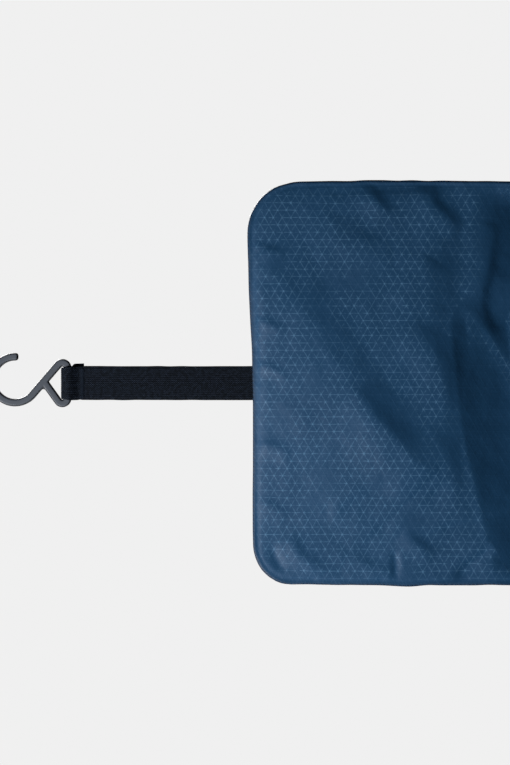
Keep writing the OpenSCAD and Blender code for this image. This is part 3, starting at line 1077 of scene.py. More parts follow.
@dataclass
class Cloths:
    """The shape that the outer cloth and the lining share.

    Attributes:
        seam_y: Height of the seam that joins them, round the whole outline.
        roll: Half width of the rolled edge.
        outer_y: Outer face of the outer cloth.
        inner_y: Face of the lining on the pocket side.
        corner: Corner radius.
        slack_corner: Radius of the top corner on the -X side, which the strap's pull has eased.
        thickness: Thickness of either cloth.
        tilt: How far the top edge rises towards the -X side.
        spine_dip: How far the outer cloth of the upper and the lower spine sags.
        lining_share: The lining's sag, as a share of the outer cloth's.
        crowns: Crown of each panel's outer cloth, from the top.
        warp_seeds: Seeds of the waves along the sides, two, and of the frill along the top edge.
    """

    seam_y: float = 0.6 * MM
    roll: float = 1.3 * MM
    outer_y: float = 1.8 * MM
    inner_y: float = -0.6 * MM
    corner: float = 24 * MM
    slack_corner: float = 31 * MM
    thickness: float = 0.5 * MM
    tilt: float = 3.2 * MM
    spine_dip: Pair = (8.0 * MM, 4.5 * MM)
    lining_share: float = 0.8
    crowns: tuple[float, float, float] = (3.0 * MM, 3.12 * MM, 3.12 * MM)
    warp_seeds: tuple[int, int, int] = (5, 6, 7)

    def __post_init__(self) -> None:
        """Takes the outline, the four fold lines and the middle of each panel and spine from the frame."""
        top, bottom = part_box("panel_outer_a"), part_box("panel_outer_c")
        self.x_low, self.x_high = top[0].x, top[1].x
        self.z_high, self.z_low = top[1].z, bottom[0].z
        order = ("panel_outer_a", "spine_outer_1", "panel_outer_b", "spine_outer_2", "panel_outer_c")
        boxes = [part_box(node) for node in order]
        self.folds = [(boxes[k][0].z + boxes[k + 1][1].z) / 2 for k in range(4)]
        self.middles = [(box[0].z + box[1].z) / 2 for box in boxes]
        self.creases = TOP_PANEL_CREASES + self.scattered(2) + self.scattered(4)

    def scattered(self, piece: int) -> tuple[Crease, ...]:
        """Creases of a panel that is out of the main view, from a seeded draw.

        Args:
            piece: Place of the panel in the row of panels and spines, from the top.

        Returns:
            The creases: long slanting ones and short ones from the edges.
        """
        rng = np.random.default_rng(40 + piece)
        upper = self.folds[piece - 1] / MM
        lower = (self.folds[piece] if piece < 4 else self.z_low) / MM
        found = []
        for _ in range(9):
            start = np.array([rng.uniform(-100, 90), rng.uniform(lower + 12, upper - 12)])
            way = rng.uniform(0, 2 * math.pi)
            bend = rng.uniform(-0.5, 0.5)
            reach = rng.uniform(16, 60)
            turns = (way, way + bend, way + 2 * bend)
            steps = np.cumsum([(math.cos(a) * reach / 2, math.sin(a) * reach / 3) for a in turns], axis=0)
            line = np.clip(np.vstack([start, start + steps]), (-112, lower + 6), (116, upper - 6))
            widths = sorted(rng.uniform(3.0, 18.0, 2))
            found.append(Crease(tuple(map(tuple, line)), rng.uniform(0.5, 1.7), widths[1], widths[0]))
        return tuple(found)

    def inside(self, x: Array, z: Array) -> Array:
        """Distance in from the outline, a rectangle with round corners, before it is warped.

        Args:
            x: First coordinate.
            z: Second coordinate.

        Returns:
            Distance, 0 on the outline.
        """
        half_x, half_z = (self.x_high - self.x_low) / 2, (self.z_high - self.z_low) / 2
        cx, cz = (self.x_high + self.x_low) / 2, (self.z_high + self.z_low) / 2
        r = np.where((x < cx) & (z > cz), self.slack_corner, self.corner)
        qx, qz = np.abs(x - cx) - half_x + r, np.abs(z - cz) - half_z + r
        reach = np.hypot(np.maximum(qx, 0), np.maximum(qz, 0)) + np.minimum(np.maximum(qx, qz), 0)
        return np.maximum(r - reach, 0.0)

    def flat_grid(self, upper: float, lower: float, step: float) -> tuple[Array, Array]:
        """Grid over one stretch of the bag: rows across it, as wide as the outline is there.

        Args:
            upper: The z of its first row.
            lower: The z of its last row.
            step: Spacing.

        Returns:
            The x and z of the grid, each of shape (rows, columns).
        """
        z = upper - edge_steps(upper - lower, step, upper == self.z_high, lower == self.z_low)
        t = np.minimum(self.z_high - z, z - self.z_low)
        ends = []
        for low_side in (True, False):
            r = np.where((t == self.z_high - z) & low_side, self.slack_corner, self.corner)
            drop = r - np.sqrt(np.maximum(r**2 - np.maximum(r - t, 0) ** 2, 0))
            ends.append(self.x_low + drop if low_side else self.x_high - drop)
        share = edge_steps(self.x_high - self.x_low, step, True, True) / (self.x_high - self.x_low)
        x = ends[0][:, None] + (ends[1] - ends[0])[:, None] * share[None, :]
        return x, np.broadcast_to(z[:, None], x.shape).copy()

    def warp(self, x: Array, z: Array) -> tuple[Array, Array]:
        """Moves the outline as the sewn cloth is pulled: a tilted top edge and wavy sides.

        Args:
            x: First coordinate.
            z: Second coordinate.

        Returns:
            The moved x and z.
        """
        top = self.z_high
        slow, quick, edge = self.warp_seeds
        lift = self.tilt * smooth_step(x, 12 * MM, -88 * MM) * smooth_step(z, top - 100 * MM, top)
        side = self.sideways(x)
        near = smooth_step(np.abs(side), 0.55, 1.0) * np.sign(side)
        wave = 0.45 * MM * soft_noise(z + side * 0.2, z * 0, 26 * MM, slow)
        wave += 0.2 * MM * soft_noise(z, side, 9 * MM, quick)
        bulge_z, bulge_length = -229 * MM, 11 * MM
        bulge = 0.9 * MM * np.exp(-(((z - bulge_z) / bulge_length) ** 2)) * (side > 0)
        frill = 0.25 * MM * soft_noise(x, z * 0, 17 * MM, edge) * smooth_step(z, top - 12 * MM, top)
        return x + near * (wave + bulge), z + lift + frill

    def sideways(self, x: Array) -> Array:
        """Place across the bag: -1 on its -X edge, 0 in the middle and 1 on its +X edge."""
        return (x - (self.x_low + self.x_high) / 2) / ((self.x_high - self.x_low) / 2)

    def dip(self, x: Array, z: Array) -> Array:
        """How far each spine sags towards the pockets: a cubic step down from each fold line.

        The upper spine starts its dip along a slanting line, and later beyond a short jog.

        Args:
            x: First coordinate.
            z: Second coordinate.

        Returns:
            A length, 0 or more.
        """
        slope, lip, upper_rise, lower_rise = 34 * MM, 6 * MM, 26 * MM, 22 * MM
        ease = 1 * MM
        slant = 0.11 * np.clip(x + 32 * MM, 0, 160 * MM) + 0.12 * np.clip(x - 30 * MM, 0, 90 * MM)
        jog = 17 * MM * smooth_step(x, -34 * MM, -62 * MM)
        start = -256 * MM - slant - jog
        hard = smooth_step(x, -64 * MM, -36 * MM)
        foot = start - slope
        ramp = hard * soft_ramp(z, start, foot) + (1 - hard) * smooth_step(z, start + lip, foot)
        upper = ramp * soft_ramp(z, self.folds[1] + ease, self.folds[1] + upper_rise)
        lower = soft_ramp(z, self.folds[2] - ease, self.folds[2] - lower_rise)
        lower = lower * soft_ramp(z, self.folds[3] + ease, self.folds[3] + lower_rise)
        at_edge = 0.25
        ends = at_edge + (1 - at_edge) * smooth_step(self.inside(x, z), 0.0, 16 * MM)
        return (self.spine_dip[0] * upper + self.spine_dip[1] * lower) * ends

    def swell(self, x: Array, z: Array) -> Array:
        """How far each panel's outer cloth crowns: a sine along it times a parabola across it.

        Args:
            x: First coordinate.
            z: Second coordinate.

        Returns:
            A length, 0 or more.
        """
        across = 1 - self.sideways(x) ** 2
        uppers = (self.z_high, self.folds[1], self.folds[3])
        lowers = (self.folds[0], self.folds[2], self.z_low)
        crown = np.zeros_like(x)
        for upper, lower, height in zip(uppers, lowers, self.crowns):
            t = np.clip((upper - z) / (upper - lower), 0, 1)
            crown += height * np.sin(np.pi * t**0.75) * across
        return crown

    def relief(self, x: Array, z: Array) -> Array:
        """Height of the outer cloth over its flat place, away from the edge: crown, creases and crinkles.

        Args:
            x: First coordinate.
            z: Second coordinate.

        Returns:
            A length that may be a little below 0.
        """
        edge = self.inside(x, z)
        free = smooth_step(edge, 1.0 * MM, 9 * MM)
        at_edge = 0.35
        broad = self.swell(x, z)
        for crease in self.creases:
            broad = broad + crease.lift(x, z) * (at_edge + (1 - at_edge) * free)
        crinkle = 0.34 * MM * soft_noise(x, z, 21 * MM, 11) + 0.16 * MM * soft_noise(x, z, 8 * MM, 12)
        puckers = 0.22 * MM * soft_noise(x, z, 6 * MM, 13) * np.exp(-((edge / (7 * MM)) ** 2))
        seam_in, seam_width = 3.0 * MM, 0.9 * MM
        seam = -0.22 * MM * np.exp(-(((edge - seam_in) / seam_width) ** 2))
        fine = crinkle * free + puckers + seam
        return broad * smooth_step(edge, 0.4 * MM, 5 * MM) + fine * smooth_step(edge, 0.8 * MM, 2.2 * MM)

    def rolled(self, edge: Array, face: float) -> Array:
        """The y of a rolled edge: a quarter ellipse from near the seam out to a face, over the roll's width.

        Args:
            edge: Distance in from the outline.
            face: The y of the face beyond the roll.

        Returns:
            The y.
        """
        at_seam = 0.04
        t = np.clip(1 - edge / self.roll, 0, 1)
        return self.seam_y + (face - self.seam_y) * (at_seam + (1 - at_seam) * np.sqrt(1 - t**2))

    def outer_height(self, x: Array, z: Array) -> Array:
        """The y of the outer cloth's outer face."""
        return self.rolled(self.inside(x, z), self.outer_y) + self.relief(x, z) - self.dip(x, z)

    def lining_height(self, x: Array, z: Array) -> Array:
        """The y of the lining's pocket face."""
        edge = self.inside(x, z)
        crinkle = 0.10 * MM * soft_noise(x, z, 12 * MM, 21) * smooth_step(edge, 1.5 * MM, 6 * MM)
        return self.rolled(edge, self.inner_y) + crinkle - self.lining_share * self.dip(x, z)


@dataclass
class BagCloth:
    """Outer cloth and lining, each in four lengths that each span one fold line.

    Attributes:
        shape: The shared shape.
        finishes: The materials.
        outer_step: Grid spacing of the outer cloth in the four lengths.
        lining_step: Grid spacing of the lining.
        bend: Half length of the bend at a fold line; not used.
        toward_light: The x and z of the way to the key lamp, which the painted glint of the threads faces.
        nudge: Half the distance over which a slope is measured.
    """

    shape: Cloths
    finishes: Finishes
    outer_step: tuple[float, ...] = (1.15 * MM, 1.5 * MM, 1.5 * MM, 1.5 * MM)
    lining_step: float = 2.2 * MM
    bend: float = 5 * MM
    toward_light: Pair = (0.64, 0.77)
    nudge: float = 0.4 * MM

    def build(self) -> list[bpy.types.Object]:
        """Builds all eight lengths.

        Returns:
            The outer cloth's four lengths, then the lining's.
        """
        s = self.shape
        cuts = [s.z_high, s.middles[1], s.middles[2], s.middles[3], s.z_low]
        outer_nodes = (
            ("panel_outer_a",),
            ("spine_outer_1",),
            ("panel_outer_b", "spine_outer_2"),
            ("panel_outer_c",),
        )
        lining_nodes = (
            ("panel_lining_a",),
            ("spine_lining_1",),
            ("panel_lining_b", "spine_lining_2"),
            ("panel_lining_c",),
        )
        made = []
        for kind, nodes in (("ripstop", outer_nodes), ("lining", lining_nodes)):
            for k in range(4):
                obj = self.length(kind, k, cuts[k], cuts[k + 1])
                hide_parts(*nodes[k])
                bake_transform(obj)
                made.append(obj)
                log.info("%s: %d points", obj.name, len(obj.data.vertices))
        return made

    def length(self, kind: str, number: int, upper: float, lower: float) -> bpy.types.Object:
        """One length of outer cloth or lining, a closed shell that thins to nothing at the rolled edge.

        Args:
            kind: Slot of the cloth, ripstop or lining.
            number: Which length, from 0 at the top.
            upper: The z of its upper end.
            lower: The z of its lower end.

        Returns:
            The new piece.
        """
        s = self.shape
        outer = kind == "ripstop"
        step = self.outer_step[number] if outer else self.lining_step
        x, z = s.flat_grid(upper, lower, step)
        edge = s.inside(x, z)
        face = s.outer_height(x, z) if outer else s.lining_height(x, z)
        thick = s.thickness * (0.08 + 0.92 * smooth_step(edge, 0.0, 2.2 * MM))
        hidden = face - thick if outer else face + thick
        wx, wz = s.warp(x, z)
        front = np.stack([wx, face, wz], -1)
        back = np.stack([wx, hidden, wz], -1)
        uv = np.stack([x, z], -1)
        name = ("outer_cloth_" if outer else "lining_cloth_") + str(number + 1)
        obj = shell_object(name, front, back, uv)
        if outer:
            # painted shade along the rolled edge, fading within about a millimetre of the outline
            hem = np.exp(-((edge / (1.15 * MM)) ** 2))
            # painted glint of the threads, set by how each slope faces the key lamp
            store(obj, "painted_glint", np.tile(self.painted_glint(x, z).ravel(), 2))
            store(obj, "hem", np.tile(hem.ravel(), 2))
        return self.finishes.dress(obj, kind)

    def painted_glint(self, x: Array, z: Array) -> Array:
        """How strongly the painted glint of the ripstop's threads shows: less on slopes that face away from
        the key lamp, and near the edge.

        Args:
            x: First coordinate.
            z: Second coordinate.

        Returns:
            Strength, 0 to 1.
        """
        s, step = self.shape, self.nudge
        slope_x = (s.relief(x + step, z) - s.relief(x - step, z)) / (2 * step)
        above, below = s.relief(x, z + step) - s.dip(x, z + step), s.relief(x, z - step) - s.dip(x, z - step)
        slope_z = (above - below) / (2 * step)
        tilt = self.toward_light[0] * slope_x + self.toward_light[1] * slope_z
        lost, at_edge = 0.94, 0.25
        border = at_edge + (1 - at_edge) * smooth_step(s.inside(x, z), 1.5 * MM, 8 * MM)
        return border * (1.0 - lost * smooth_step(tilt, 0.02, 0.19))


# ---------------------------------------------------------------- webbing and thread


@dataclass
class Webbing:
    """Flat ribbed strap along a path in the YZ plane.

    Attributes:
        thickness: Thickness over the ribs.
        rib: Spacing of the ribs.
        rib_depth: Depth of the grooves between them.
        rib_points: Points across one rib.
    """

    thickness: float = 1.2 * MM
    rib: float = 1.25 * MM
    rib_depth: float = 0.11 * MM
    rib_points: int = 6

    def build(self, name: str, path: Array, low: Array, high: Array) -> bpy.types.Object:
        """The strap: path + across x X + N x half thickness, with cosine ribs and rounded selvedges.

        Args:
            name: Name of the piece.
            path: The y and z of the middle, shape (n, 2).
            low: The x of one edge at each point.
            high: The x of the other edge.

        Returns:
            The new piece, with cloth coordinates across and along it.
        """
        tangent = np.gradient(path, axis=0)
        tangent /= np.linalg.norm(tangent, axis=1, keepdims=True)
        normal = np.stack([-tangent[:, 1], tangent[:, 0]], -1)
        along = np.cumsum(np.r_[0, np.linalg.norm(np.diff(path, axis=0), axis=1)])
        width = float((high - low).max())
        share = np.linspace(-1, 1, round(width / self.rib) * self.rib_points + 1)
        groove = self.rib_depth * (0.5 + 0.5 * np.cos(share * width / self.rib * math.pi)) ** 2
        selvedge = np.sqrt(1 - 0.93 * np.abs(share) ** 14)
        half = (self.thickness / 2 - groove) * selvedge
        x = (low + high)[:, None] / 2 + (high - low)[:, None] / 2 * share[None, :]
        faces = []
        for sign in (1.0, -1.0):
            grid = np.empty(x.shape + (3,))
            grid[..., 0] = x
            grid[..., 1] = path[:, None, 0] + sign * normal[:, None, 0] * half[None, :]
            grid[..., 2] = path[:, None, 1] + sign * normal[:, None, 1] * half[None, :]
            faces.append(grid)
        uv = np.stack([x, np.broadcast_to(along[:, None], x.shape)], -1)
        return shell_object(name, faces[0], faces[1], uv, sharp=70)


def bar_tack(name: str, low: Vector, high: Vector, y: float, out: float, rows: int) -> Solid:
    """Zigzag of thread that fills a bar: x runs along it while z swings from side to side.

    Args:
        name: What the log calls it.
        low: Lowest corner of the bar.
        high: Highest corner.
        y: Surface that the thread lies on.
        out: 1 if the surface faces +Y, or -1.
        rows: How many swings.

    Returns:
        Vertices and faces of the thread.
    """
    points_a_swing, radius = 10, 0.17 * MM
    t = np.linspace(0, 1, rows * points_a_swing + 1)
    swing = 2 * np.abs(2 * ((t * rows) % 1.0) - 1) - 1
    rounded = np.sign(swing) * np.abs(swing) ** 0.8
    dive = 1.3 * np.abs(swing) ** 6
    lift = radius * (1.0 - dive)
    middle, half = (low.z + high.z) / 2, (high.z - low.z) / 2
    x = low.x + (high.x - low.x) * t
    path = np.stack([x, y + out * lift, middle + half * rounded], -1)
    log.info("%s: %d swings", name, rows)
    return tube_points(path, radius, 6, (0, 1, 0))


@dataclass
class HangerStrap:
    """The strap from inside the top panel, up round the hook's bar and back to its tack.

    Attributes:
        finishes: The materials.
        bar_z: Height of the hook's bar.
        loop_radius: Radius of the strap's middle round the bar.
        join_z: Where the two runs have come together below the bar.
        run_y: The y of the run's middle, and as far the other side that of the tail's.
        slack: How far the tail stands past the strap's -X edge.
        bend: Half length of the bend at the bag's edge; not used.
    """

    finishes: Finishes
    bar_z: float = -30.8 * MM
    loop_radius: float = 3.3 * MM
    join_z: float = -38.0 * MM
    run_y: float = 0.6 * MM
    slack: float = 1.5 * MM
    bend: float = 3.5 * MM

    def build(self) -> None:
        """Strap, its bar tack, and the tack that holds it in the panel."""
        box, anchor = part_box("hanger_strap"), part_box("strap_anchor")
        tack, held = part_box("strap_bar_tack"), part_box("anchor_tack")
        rise = np.linspace(anchor[0].z, self.bar_z, 150)
        ease = smooth_step(rise, self.join_z, self.bar_z - 0.4 * MM)
        front = np.stack([self.run_y + (self.loop_radius - self.run_y) * ease, rise], -1)
        angle = np.linspace(0, math.pi, 26)[1:-1]
        over = np.stack([np.cos(angle), np.sin(angle)], -1) * self.loop_radius + (0, self.bar_z)
        tail = front[::-1] * (-1, 1)
        tail = tail[tail[:, 1] >= tack[0].z - 0.2 * MM]
        path = np.concatenate([front, over, tail])
        behind = np.concatenate([np.zeros(len(front) + len(over)), np.ones(len(tail))])
        z = path[:, 1]
        pinch = smooth_step(z, self.bar_z - 2.2 * MM, self.bar_z + 2.4 * MM)
        shift = -self.slack * behind * smooth_step(z, -33.0 * MM, -34.8 * MM)
        low_ripple = 0.12 * MM * soft_noise(z, z * 0, 7 * MM, 31)
        high_ripple = 0.12 * MM * soft_noise(z, z * 0, 8 * MM, 32)
        nick_z, nick_length = -38.2 * MM, 0.6 * MM
        nick = 0.35 * MM * np.exp(-(((z - nick_z) / nick_length) ** 2)) * (1 - behind)
        low = box[0].x + pinch * 0.9 * MM + shift + low_ripple
        high = box[1].x - pinch * 0.6 * MM + shift - nick + high_ripple
        obj = Webbing().build("hanger_strap_webbing", path, low, high)
        self.finishes.dress(obj, "webbing")
        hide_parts("hanger_strap", "strap_anchor")
        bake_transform(obj)
        log.info("hanger strap: %d points", len(obj.data.vertices))
        face = self.run_y + 0.6 * MM
        loop_tack = [bar_tack("strap tack", *tack, sign * face, sign, 34) for sign in (1.0, -1.0)]
        self.thread("strap_bar_tack_thread", loop_tack, "strap_bar_tack", "strap")
        panel_tack = [bar_tack("anchor tack", *held, held[0].y, 1.0, 30)]
        self.thread("anchor_tack_thread", panel_tack, "anchor_tack", "panel_a")

    def thread(self, name: str, parts: list[Solid], node: str, body: str) -> None:
        """Makes a tack's thread, in place of its CAD node, on its body.

        Args:
            name: Name of the piece.
            parts: Vertices and faces of each run of thread.
            node: The CAD node that it stands for.
            body: The body that it moves with.
        """
        points, faces = joined(parts)
        obj = mesh_object(name, points, faces, points[:, [0, 2]])
        self.finishes.dress(obj, "thread")
        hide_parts(node)
        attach(obj, body)


@dataclass
class Keeper:
    """Webbing loop on the middle panel, which takes the hook when the bag is rolled up.

    Attributes:
        finishes: The materials.
        foot: Length of each sewn foot.
        tack: Length of the tack on it.
        half: Half the webbing's thickness.
    """

    finishes: Finishes
    foot: float = 7 * MM
    tack: float = 2.4 * MM
    half: float = 0.6 * MM

    def build(self, strap: HangerStrap) -> None:
        """The loop, which rises between two sewn feet as a power of a sine, and its tacks.

        Args:
            strap: The strap, which makes its tacks in the same way.
        """
        low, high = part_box("keeper_loop")
        z = np.linspace(low.z, high.z, 90)
        t = np.clip((z - low.z - self.foot) / (high.z - low.z - 2 * self.foot), 0, 1)
        rise = np.sin(math.pi * t) ** 0.75 * smooth_step(t, 0, 0.2) * smooth_step(t, 1, 0.8)
        y = low.y + self.half + (high.y - low.y - 2 * self.half) * rise
        left, right = np.full(len(z), low.x), np.full(len(z), high.x)
        obj = Webbing().build("keeper_webbing", np.stack([y, z], -1), left, right)
        self.finishes.dress(obj, "webbing")
        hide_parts("keeper_loop")
        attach(obj, "panel_b")
        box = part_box("keeper_tacks")
        feet = [(box[0].z, box[0].z + self.tack), (box[1].z - self.tack, box[1].z)]
        ends = [(Vector((box[0].x, 0, a)), Vector((box[1].x, 0, b))) for a, b in feet]
        parts = [bar_tack("keeper tack", a, b, box[0].y, 1.0, 30) for a, b in ends]
        strap.thread("keeper_tack_thread", parts, "keeper_tacks", "panel_b")
        log.info("keeper loop: %d points", len(obj.data.vertices))


# ---------------------------------------------------------------- pockets


@dataclass
class Pocket:
    """One pocket: gusset, net front, binding, hemmed slot and its zip.

    Attributes:
        letter: Which panel, a, b or c.
        finishes: The materials.
        corner: Corner radius of the pocket.
        cell: Spacing of the net's holes.
        strand: Thickness of its strands.
        puff: How far the net stands out in the middle.
        hem: Width of the tape round the zip's slot.
        slot: Length and width of the slot.
        wall: Thickness of the gusset.
        tape_wall: Thickness of the binding.
    """

    letter: str
    finishes: Finishes
    corner: float = 16 * MM
    cell: float = 2.75 * MM
    strand: float = 0.56 * MM
    puff: float = 2.4 * MM
    hem: float = 3.0 * MM
    slot: Pair = (200 * MM, 12 * MM)
    wall: float = 0.5 * MM
    tape_wall: float = 0.75 * MM

    def __post_init__(self) -> None:
        """Takes the pocket's place from the frame."""
        self.body = "panel_" + self.letter
        self.seed = ord(self.letter)
        parts = ("pocket_gusset", "pocket_front", "zip_tape")
        gusset, front, tape = (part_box(self.node(part)) for part in parts)
        self.low, self.high = (gusset[0].x, gusset[0].z), (gusset[1].x, gusset[1].z)
        self.back_y, self.rim_y = gusset[1].y, gusset[0].y
        self.net_y = (front[0].y + front[1].y) / 2
        self.zip_z = (tape[0].z + tape[1].z) / 2
        self.tape = tape
        self.middle_x = (self.low[0] + self.high[0]) / 2

    def node(self, part: str) -> str:
        """Name of this pocket's CAD node for a part."""
        return part + "_" + self.letter

    def build(self) -> None:
        """Builds every piece of the pocket."""
        self.gusset()
        self.net()
        self.binding()
        self.slot_hem()
        self.zip()

    def keep(self, obj: bpy.types.Object, slot: str, *nodes: str) -> bpy.types.Object:
        """Dresses a piece, sets it on the panel and hides the CAD nodes that it stands for.

        Args:
            obj: The piece.
            slot: Slot of its material.
            nodes: The CAD nodes.

        Returns:
            The same piece.
        """
        self.finishes.dress(obj, slot)
        if nodes:
            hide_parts(*nodes)
        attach(obj, self.body)
        log.info("%s: %d points", obj.name, len(obj.data.vertices))
        return obj

    def loop(self, inset: float = 0.0, step: float = 1.6 * MM) -> Loop:
        """The pocket's outline.

        Args:
            inset: How far it is moved in.
            step: Spacing of its points.

        Returns:
            The outline.
        """
        low = (self.low[0] + inset, self.low[1] + inset)
        high = (self.high[0] - inset, self.high[1] - inset)
        return Loop(low, high, self.corner - inset, step)

    def gusset(self) -> None:
        """Side band: bowed out by a sine across its depth, with small random folds along it."""
        loop = self.loop()
        points, _, s = loop.walk()
        t = np.linspace(0, 1, 14)
        depth = self.back_y + (self.rim_y - self.back_y) * t
        fold = 0.45 * MM * soft_noise(s[:, None], t[None, :] * 4 * MM, 7 * MM, 51 + self.seed)
        sag = 0.7 * MM + 0.5 * MM * soft_noise(s[:, None], t[None, :] * 0, 38 * MM, 61 + self.seed)
        set_in = 0.15 * MM
        bow = (sag + fold) * np.sin(np.pi * t)[None, :] - set_in
        section = np.concatenate([bow, (bow - self.wall)[:, ::-1]], axis=1)
        both = np.concatenate([depth, depth[::-1]])
        obj = band_object("gusset_cloth_" + self.letter, loop, section, both)
        # even painted glint of the threads on the gusset
        store(obj, "painted_glint", np.full(section.shape, 0.85))
        store(obj, "hem", np.zeros(section.shape))
        self.keep(obj, "ripstop", self.node("pocket_gusset"))

    def net_lift(self, x: Array, z: Array) -> Array:
        """How far the net stands out: sine x sine over the pocket, less beside the stiff slot.

        Args:
            x: First coordinate.
            z: Second coordinate.

        Returns:
            A length, 0 or more.
        """
        u = np.clip((x - self.low[0]) / (self.high[0] - self.low[0]), 0, 1)
        v = np.clip((z - self.low[1]) / (self.high[1] - self.low[1]), 0, 1)
        stiff = 1 - 0.75 * np.exp(-(((z - self.zip_z) / (16 * MM)) ** 2))
        soft = 1 + 0.35 * soft_noise(x, z, 30 * MM, 71 + self.seed)
        return self.puff * (np.sin(np.pi * u) * np.sin(np.pi * v)) ** 0.7 * stiff * soft

    def net(self) -> None:
        """Front of hexagonal net: every cell of a honeycomb inside the edge and outside the slot."""
        p, row = self.cell, self.cell * math.sqrt(3) / 2
        width, height = self.high[0] - self.low[0], self.high[1] - self.low[1]
        half_x, half_z = width / 2, height / 2
        i, j = np.meshgrid(np.arange(int(width / p) + 3), np.arange(int(height / row) + 3))
        cx = self.low[0] + (i + 0.5 * (j % 2)) * p
        cz = self.low[1] + j * row
        qx = np.abs(cx - self.middle_x) - half_x + self.corner
        qz = np.abs(cz - (self.low[1] + self.high[1]) / 2) - half_z + self.corner
        reach = np.hypot(np.maximum(qx, 0), np.maximum(qz, 0)) + np.minimum(np.maximum(qx, qz), 0)
        sewn_in = 1.2 * MM
        in_edge = reach < self.corner - sewn_in - p / 2
        beside_x, beside_z = np.abs(cx - self.middle_x), np.abs(cz - self.zip_z)
        in_slot = (beside_x < self.slot[0] / 2) & (beside_z < self.slot[1] / 2)
        keep = in_edge & ~in_slot
        cx, cz = cx[keep], cz[keep]
        angle = np.arange(6) * math.pi / 3 + math.pi / 6
        x = cx[:, None] + np.cos(angle) * p / math.sqrt(3)
        z = cz[:, None] + np.sin(angle) * p / math.sqrt(3)
        flat = np.stack([x.ravel(), z.ravel()], -1)
        same = np.round(flat / (0.05 * MM))
        _, first, faces = np.unique(same, axis=0, return_index=True, return_inverse=True)
        flat = flat[first]
        y = self.net_y - self.net_lift(flat[:, 0], flat[:, 1])
        points = np.stack([flat[:, 0], y, flat[:, 1]], -1)
        obj = mesh_object("pocket_net_" + self.letter, points, [faces.reshape(-1, 6)], flat)
        wire = obj.modifiers.new("strands", "WIREFRAME")
        wire.thickness = self.strand
        wire.use_even_offset = False
        self.keep(obj, "net", self.node("pocket_front"))

    def strip(self, name: str, loop: Loop, width: Pair, y: float, thick: float) -> bpy.types.Object:
        """Flat folded tape round a loop: its section is a stadium between two offsets.

        Args:
            name: Name of the piece.
            loop: The loop.
            width: Offsets of its two edges from the loop.
            y: Middle of its thickness.
            thick: Its thickness.

        Returns:
            The new piece.
        """
        middle, half = (width[0] + width[1]) / 2, (width[1] - width[0]) / 2
        angle = np.linspace(0, 2 * math.pi, 20, endpoint=False)
        c, s = np.cos(angle), np.sin(angle)
        section = middle + half * np.sign(c) * np.abs(c) ** 0.4
        depth = y + thick / 2 * np.sign(s) * np.abs(s) ** 0.5
        return band_object(name, loop, section, depth)

    def stitches(self, name: str, loop: Loop, y: float) -> None:
        """Running stitch along a loop: the thread arches out and dives in once a stitch.

        Args:
            name: Name of the piece.
            loop: The line of the seam.
            y: Surface that it lies on.
        """
        length, gap, radius = 2.3 * MM, 0.9 * MM, 0.16 * MM
        points, _, s = loop.walk()
        phase = (s / (length + gap)) % 1.0
        shown, hidden = length / (length + gap), -1.2
        arch = np.where(phase < shown, np.maximum(np.sin(np.pi * phase / shown), 0.0) ** 0.3, hidden)
        path = np.stack([points[:, 0], y - radius * arch, points[:, 1]], -1)
        made, faces = tube_points(path, radius, 6, (0, 1, 0))
        self.keep(mesh_object(name, made, faces, made[:, [0, 2]]), "thread")

    def binding(self) -> None:
        """Tape folded over the front edge: an angle section with a round corner."""
        node = self.node("pocket_binding")
        low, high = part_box(node)
        out, front, back = self.low[0] - low.x, low.y, high.y
        turn = np.linspace(0, math.pi / 2, 7)
        r, reach, step = 1.3 * MM, 4.2 * MM, 1.3 * MM
        over = np.linspace(-reach, out - r, 5)[:-1]
        face_out = np.concatenate([over, out - r + r * np.sin(turn), [out, out]])
        face_y = np.concatenate([np.full(4, front), front + r - r * np.cos(turn), [(front + back) / 2, back]])
        inner_out = np.minimum(face_out, out - self.tape_wall)[::-1]
        inner_y = np.maximum(face_y, front + self.tape_wall)[::-1]
        loop = self.loop(step=step)
        section, depth = np.concatenate([face_out, inner_out]), np.concatenate([face_y, inner_y])
        along = np.arange(len(loop.walk()[2]))[:, None] * step
        ripple = 0.08 * MM * soft_noise(along, section[None, :] * 0, 5 * MM, 81)
        obj = band_object("binding_tape_" + self.letter, loop, section + ripple, depth)
        self.keep(obj, "binding", node)
        self.stitches("binding_stitch_" + self.letter, self.loop(1.9 * MM, 0.4 * MM), front)

    def slot_hem(self) -> None:
        """Narrow tape that hems the net round the zip's slot, with its stitching."""
        half_x, half_z = self.slot[0] / 2, self.slot[1] / 2
        low = (self.middle_x - half_x, self.zip_z - half_z)
        high = (self.middle_x + half_x, self.zip_z + half_z)
        loop = Loop(low, high, 1.6 * MM, 1.3 * MM)
        y = self.net_y - 0.15 * MM
        obj = self.strip("slot_hem_" + self.letter, loop, (-0.5 * MM, self.hem), y, 1.1 * MM)
        self.keep(obj, "binding")
        line = 1.2 * MM
        seam = Loop((low[0] - line, low[1] - line), (high[0] + line, high[1] + line), 2.6 * MM, 0.4 * MM)
        self.stitches("slot_stitch_" + self.letter, seam, y - 0.5 * MM)

    def zip(self) -> None:
        """Tape, two meshed coils, end stops, and the CAD slider, pull and grip."""
        low, high = self.tape
        x = np.linspace(low.x, high.x, 130)
        z = np.linspace(low.z, high.z, 21)
        gx, gz = np.meshgrid(x, z)
        free = smooth_step(np.abs(gz - self.zip_z), 1 * MM, 7 * MM)
        ripple = 0.06 * MM * soft_noise(gx, gz, 14 * MM, 91) * free
        front = np.stack([gx, low.y + ripple, gz], -1)
        back = np.stack([gx, high.y + ripple, gz], -1)
        tape = shell_object("zip_tape_cloth_" + self.letter, front, back, np.stack([gx, gz], -1))
        self.keep(tape, "zip_tape", self.node("zip_tape"))
        self.coils()
        self.stops()
        self.finishes.dress_node(self.node("zip_slider"), "metal", 0.2 * MM, 3)
        self.finishes.dress_node(self.node("zip_pull"), "metal", 0.2 * MM, 3)
        self.finishes.dress_node(self.node("zip_grip"), "grip", 0.3 * MM, 4)

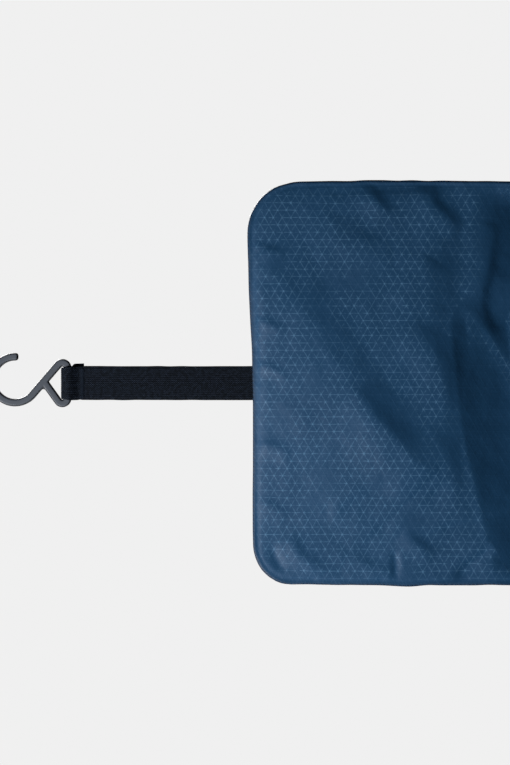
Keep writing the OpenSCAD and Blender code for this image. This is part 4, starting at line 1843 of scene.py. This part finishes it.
    def coils(self) -> None:
        """Two flattened helices of yarn, half a turn apart, whose turns lie between each other."""
        node = self.node("zip_coil")
        low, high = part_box(node)
        pitch, wire = 1.45 * MM, 0.33 * MM
        turns = int((high.x - low.x - 2 * wire) / pitch)
        angle = np.linspace(0, 2 * math.pi * turns, turns * 12 + 1)
        middle, tall = (low.y + high.y) / 2, (high.y - low.y) / 2 - wire
        reach = (high.z - low.z) / 2 - wire
        centre, swing = 0.36 * reach, 0.64 * reach
        c = np.cos(angle)
        parts = []
        for side in (1.0, -1.0):
            x = low.x + wire + pitch * angle / (2 * math.pi) + (pitch / 2 if side < 0 else 0.0)
            z = self.zip_z + side * (centre - swing * np.sign(c) * np.abs(c) ** 0.7)
            y = middle + tall * np.sin(angle)
            parts.append(tube_points(np.stack([x, y, z], -1), wire, 6, (1, 0, 0)))
        points, faces = joined(parts)
        obj = mesh_object("zip_coil_turns_" + self.letter, points, faces, points[:, [0, 2]])
        self.keep(obj, "zip_coil", node)

    def stops(self) -> None:
        """End stops: two crimped clips, each a superellipsoid."""
        node = self.node("zip_stops")
        low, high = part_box(node)
        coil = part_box(self.node("zip_coil"))
        sides, rings, power = 28, 13, 0.35
        u, v = np.meshgrid(np.linspace(0, 2 * math.pi, sides, endpoint=False), np.linspace(-1.5, 1.5, rings))
        waves = (np.cos(u), np.sin(u), np.cos(v), np.sin(v))
        cu, su, cv, sv = (np.sign(wave) * np.abs(wave) ** power for wave in waves)
        unit = np.stack([cv * cu, cv * su, sv], -1)
        walls = grid_faces(rings, sides, wrap_columns=True)
        caps = [np.arange(sides)[None, ::-1], np.arange(sides)[None, :] + (rings - 1) * sides]
        parts = []
        for start, end in ((low.x, coil[0].x), (coil[1].x, high.x)):
            size = np.array([(end - start) / 2, (high.y - low.y) / 2, (high.z - low.z) / 2])
            centre = np.array([(start + end) / 2, (high.y + low.y) / 2, (high.z + low.z) / 2])
            parts.append(((unit * size + centre).reshape(-1, 3), [walls, *caps]))
        points, faces = joined(parts)
        self.keep(mesh_object("zip_stop_clips_" + self.letter, points, faces), "metal", node)


# ---------------------------------------------------------------- the whole


def main() -> None:
    """Builds the studio and the bag in order. Each class reports its pieces as it makes them."""
    logging.basicConfig(level=logging.INFO, format="%(name)s: %(message)s", stream=sys.stdout)
    Studio().build()
    finishes = Finishes().build()
    finishes.dress_node("hook", "hook_plastic", 0.24 * MM, 12)
    BagCloth(Cloths(), finishes).build()
    strap = HangerStrap(finishes)
    strap.build()
    Keeper(finishes).build(strap)
    for letter in "abc":
        Pocket(letter, finishes).build()


if __name__ == "__main__":
    main()
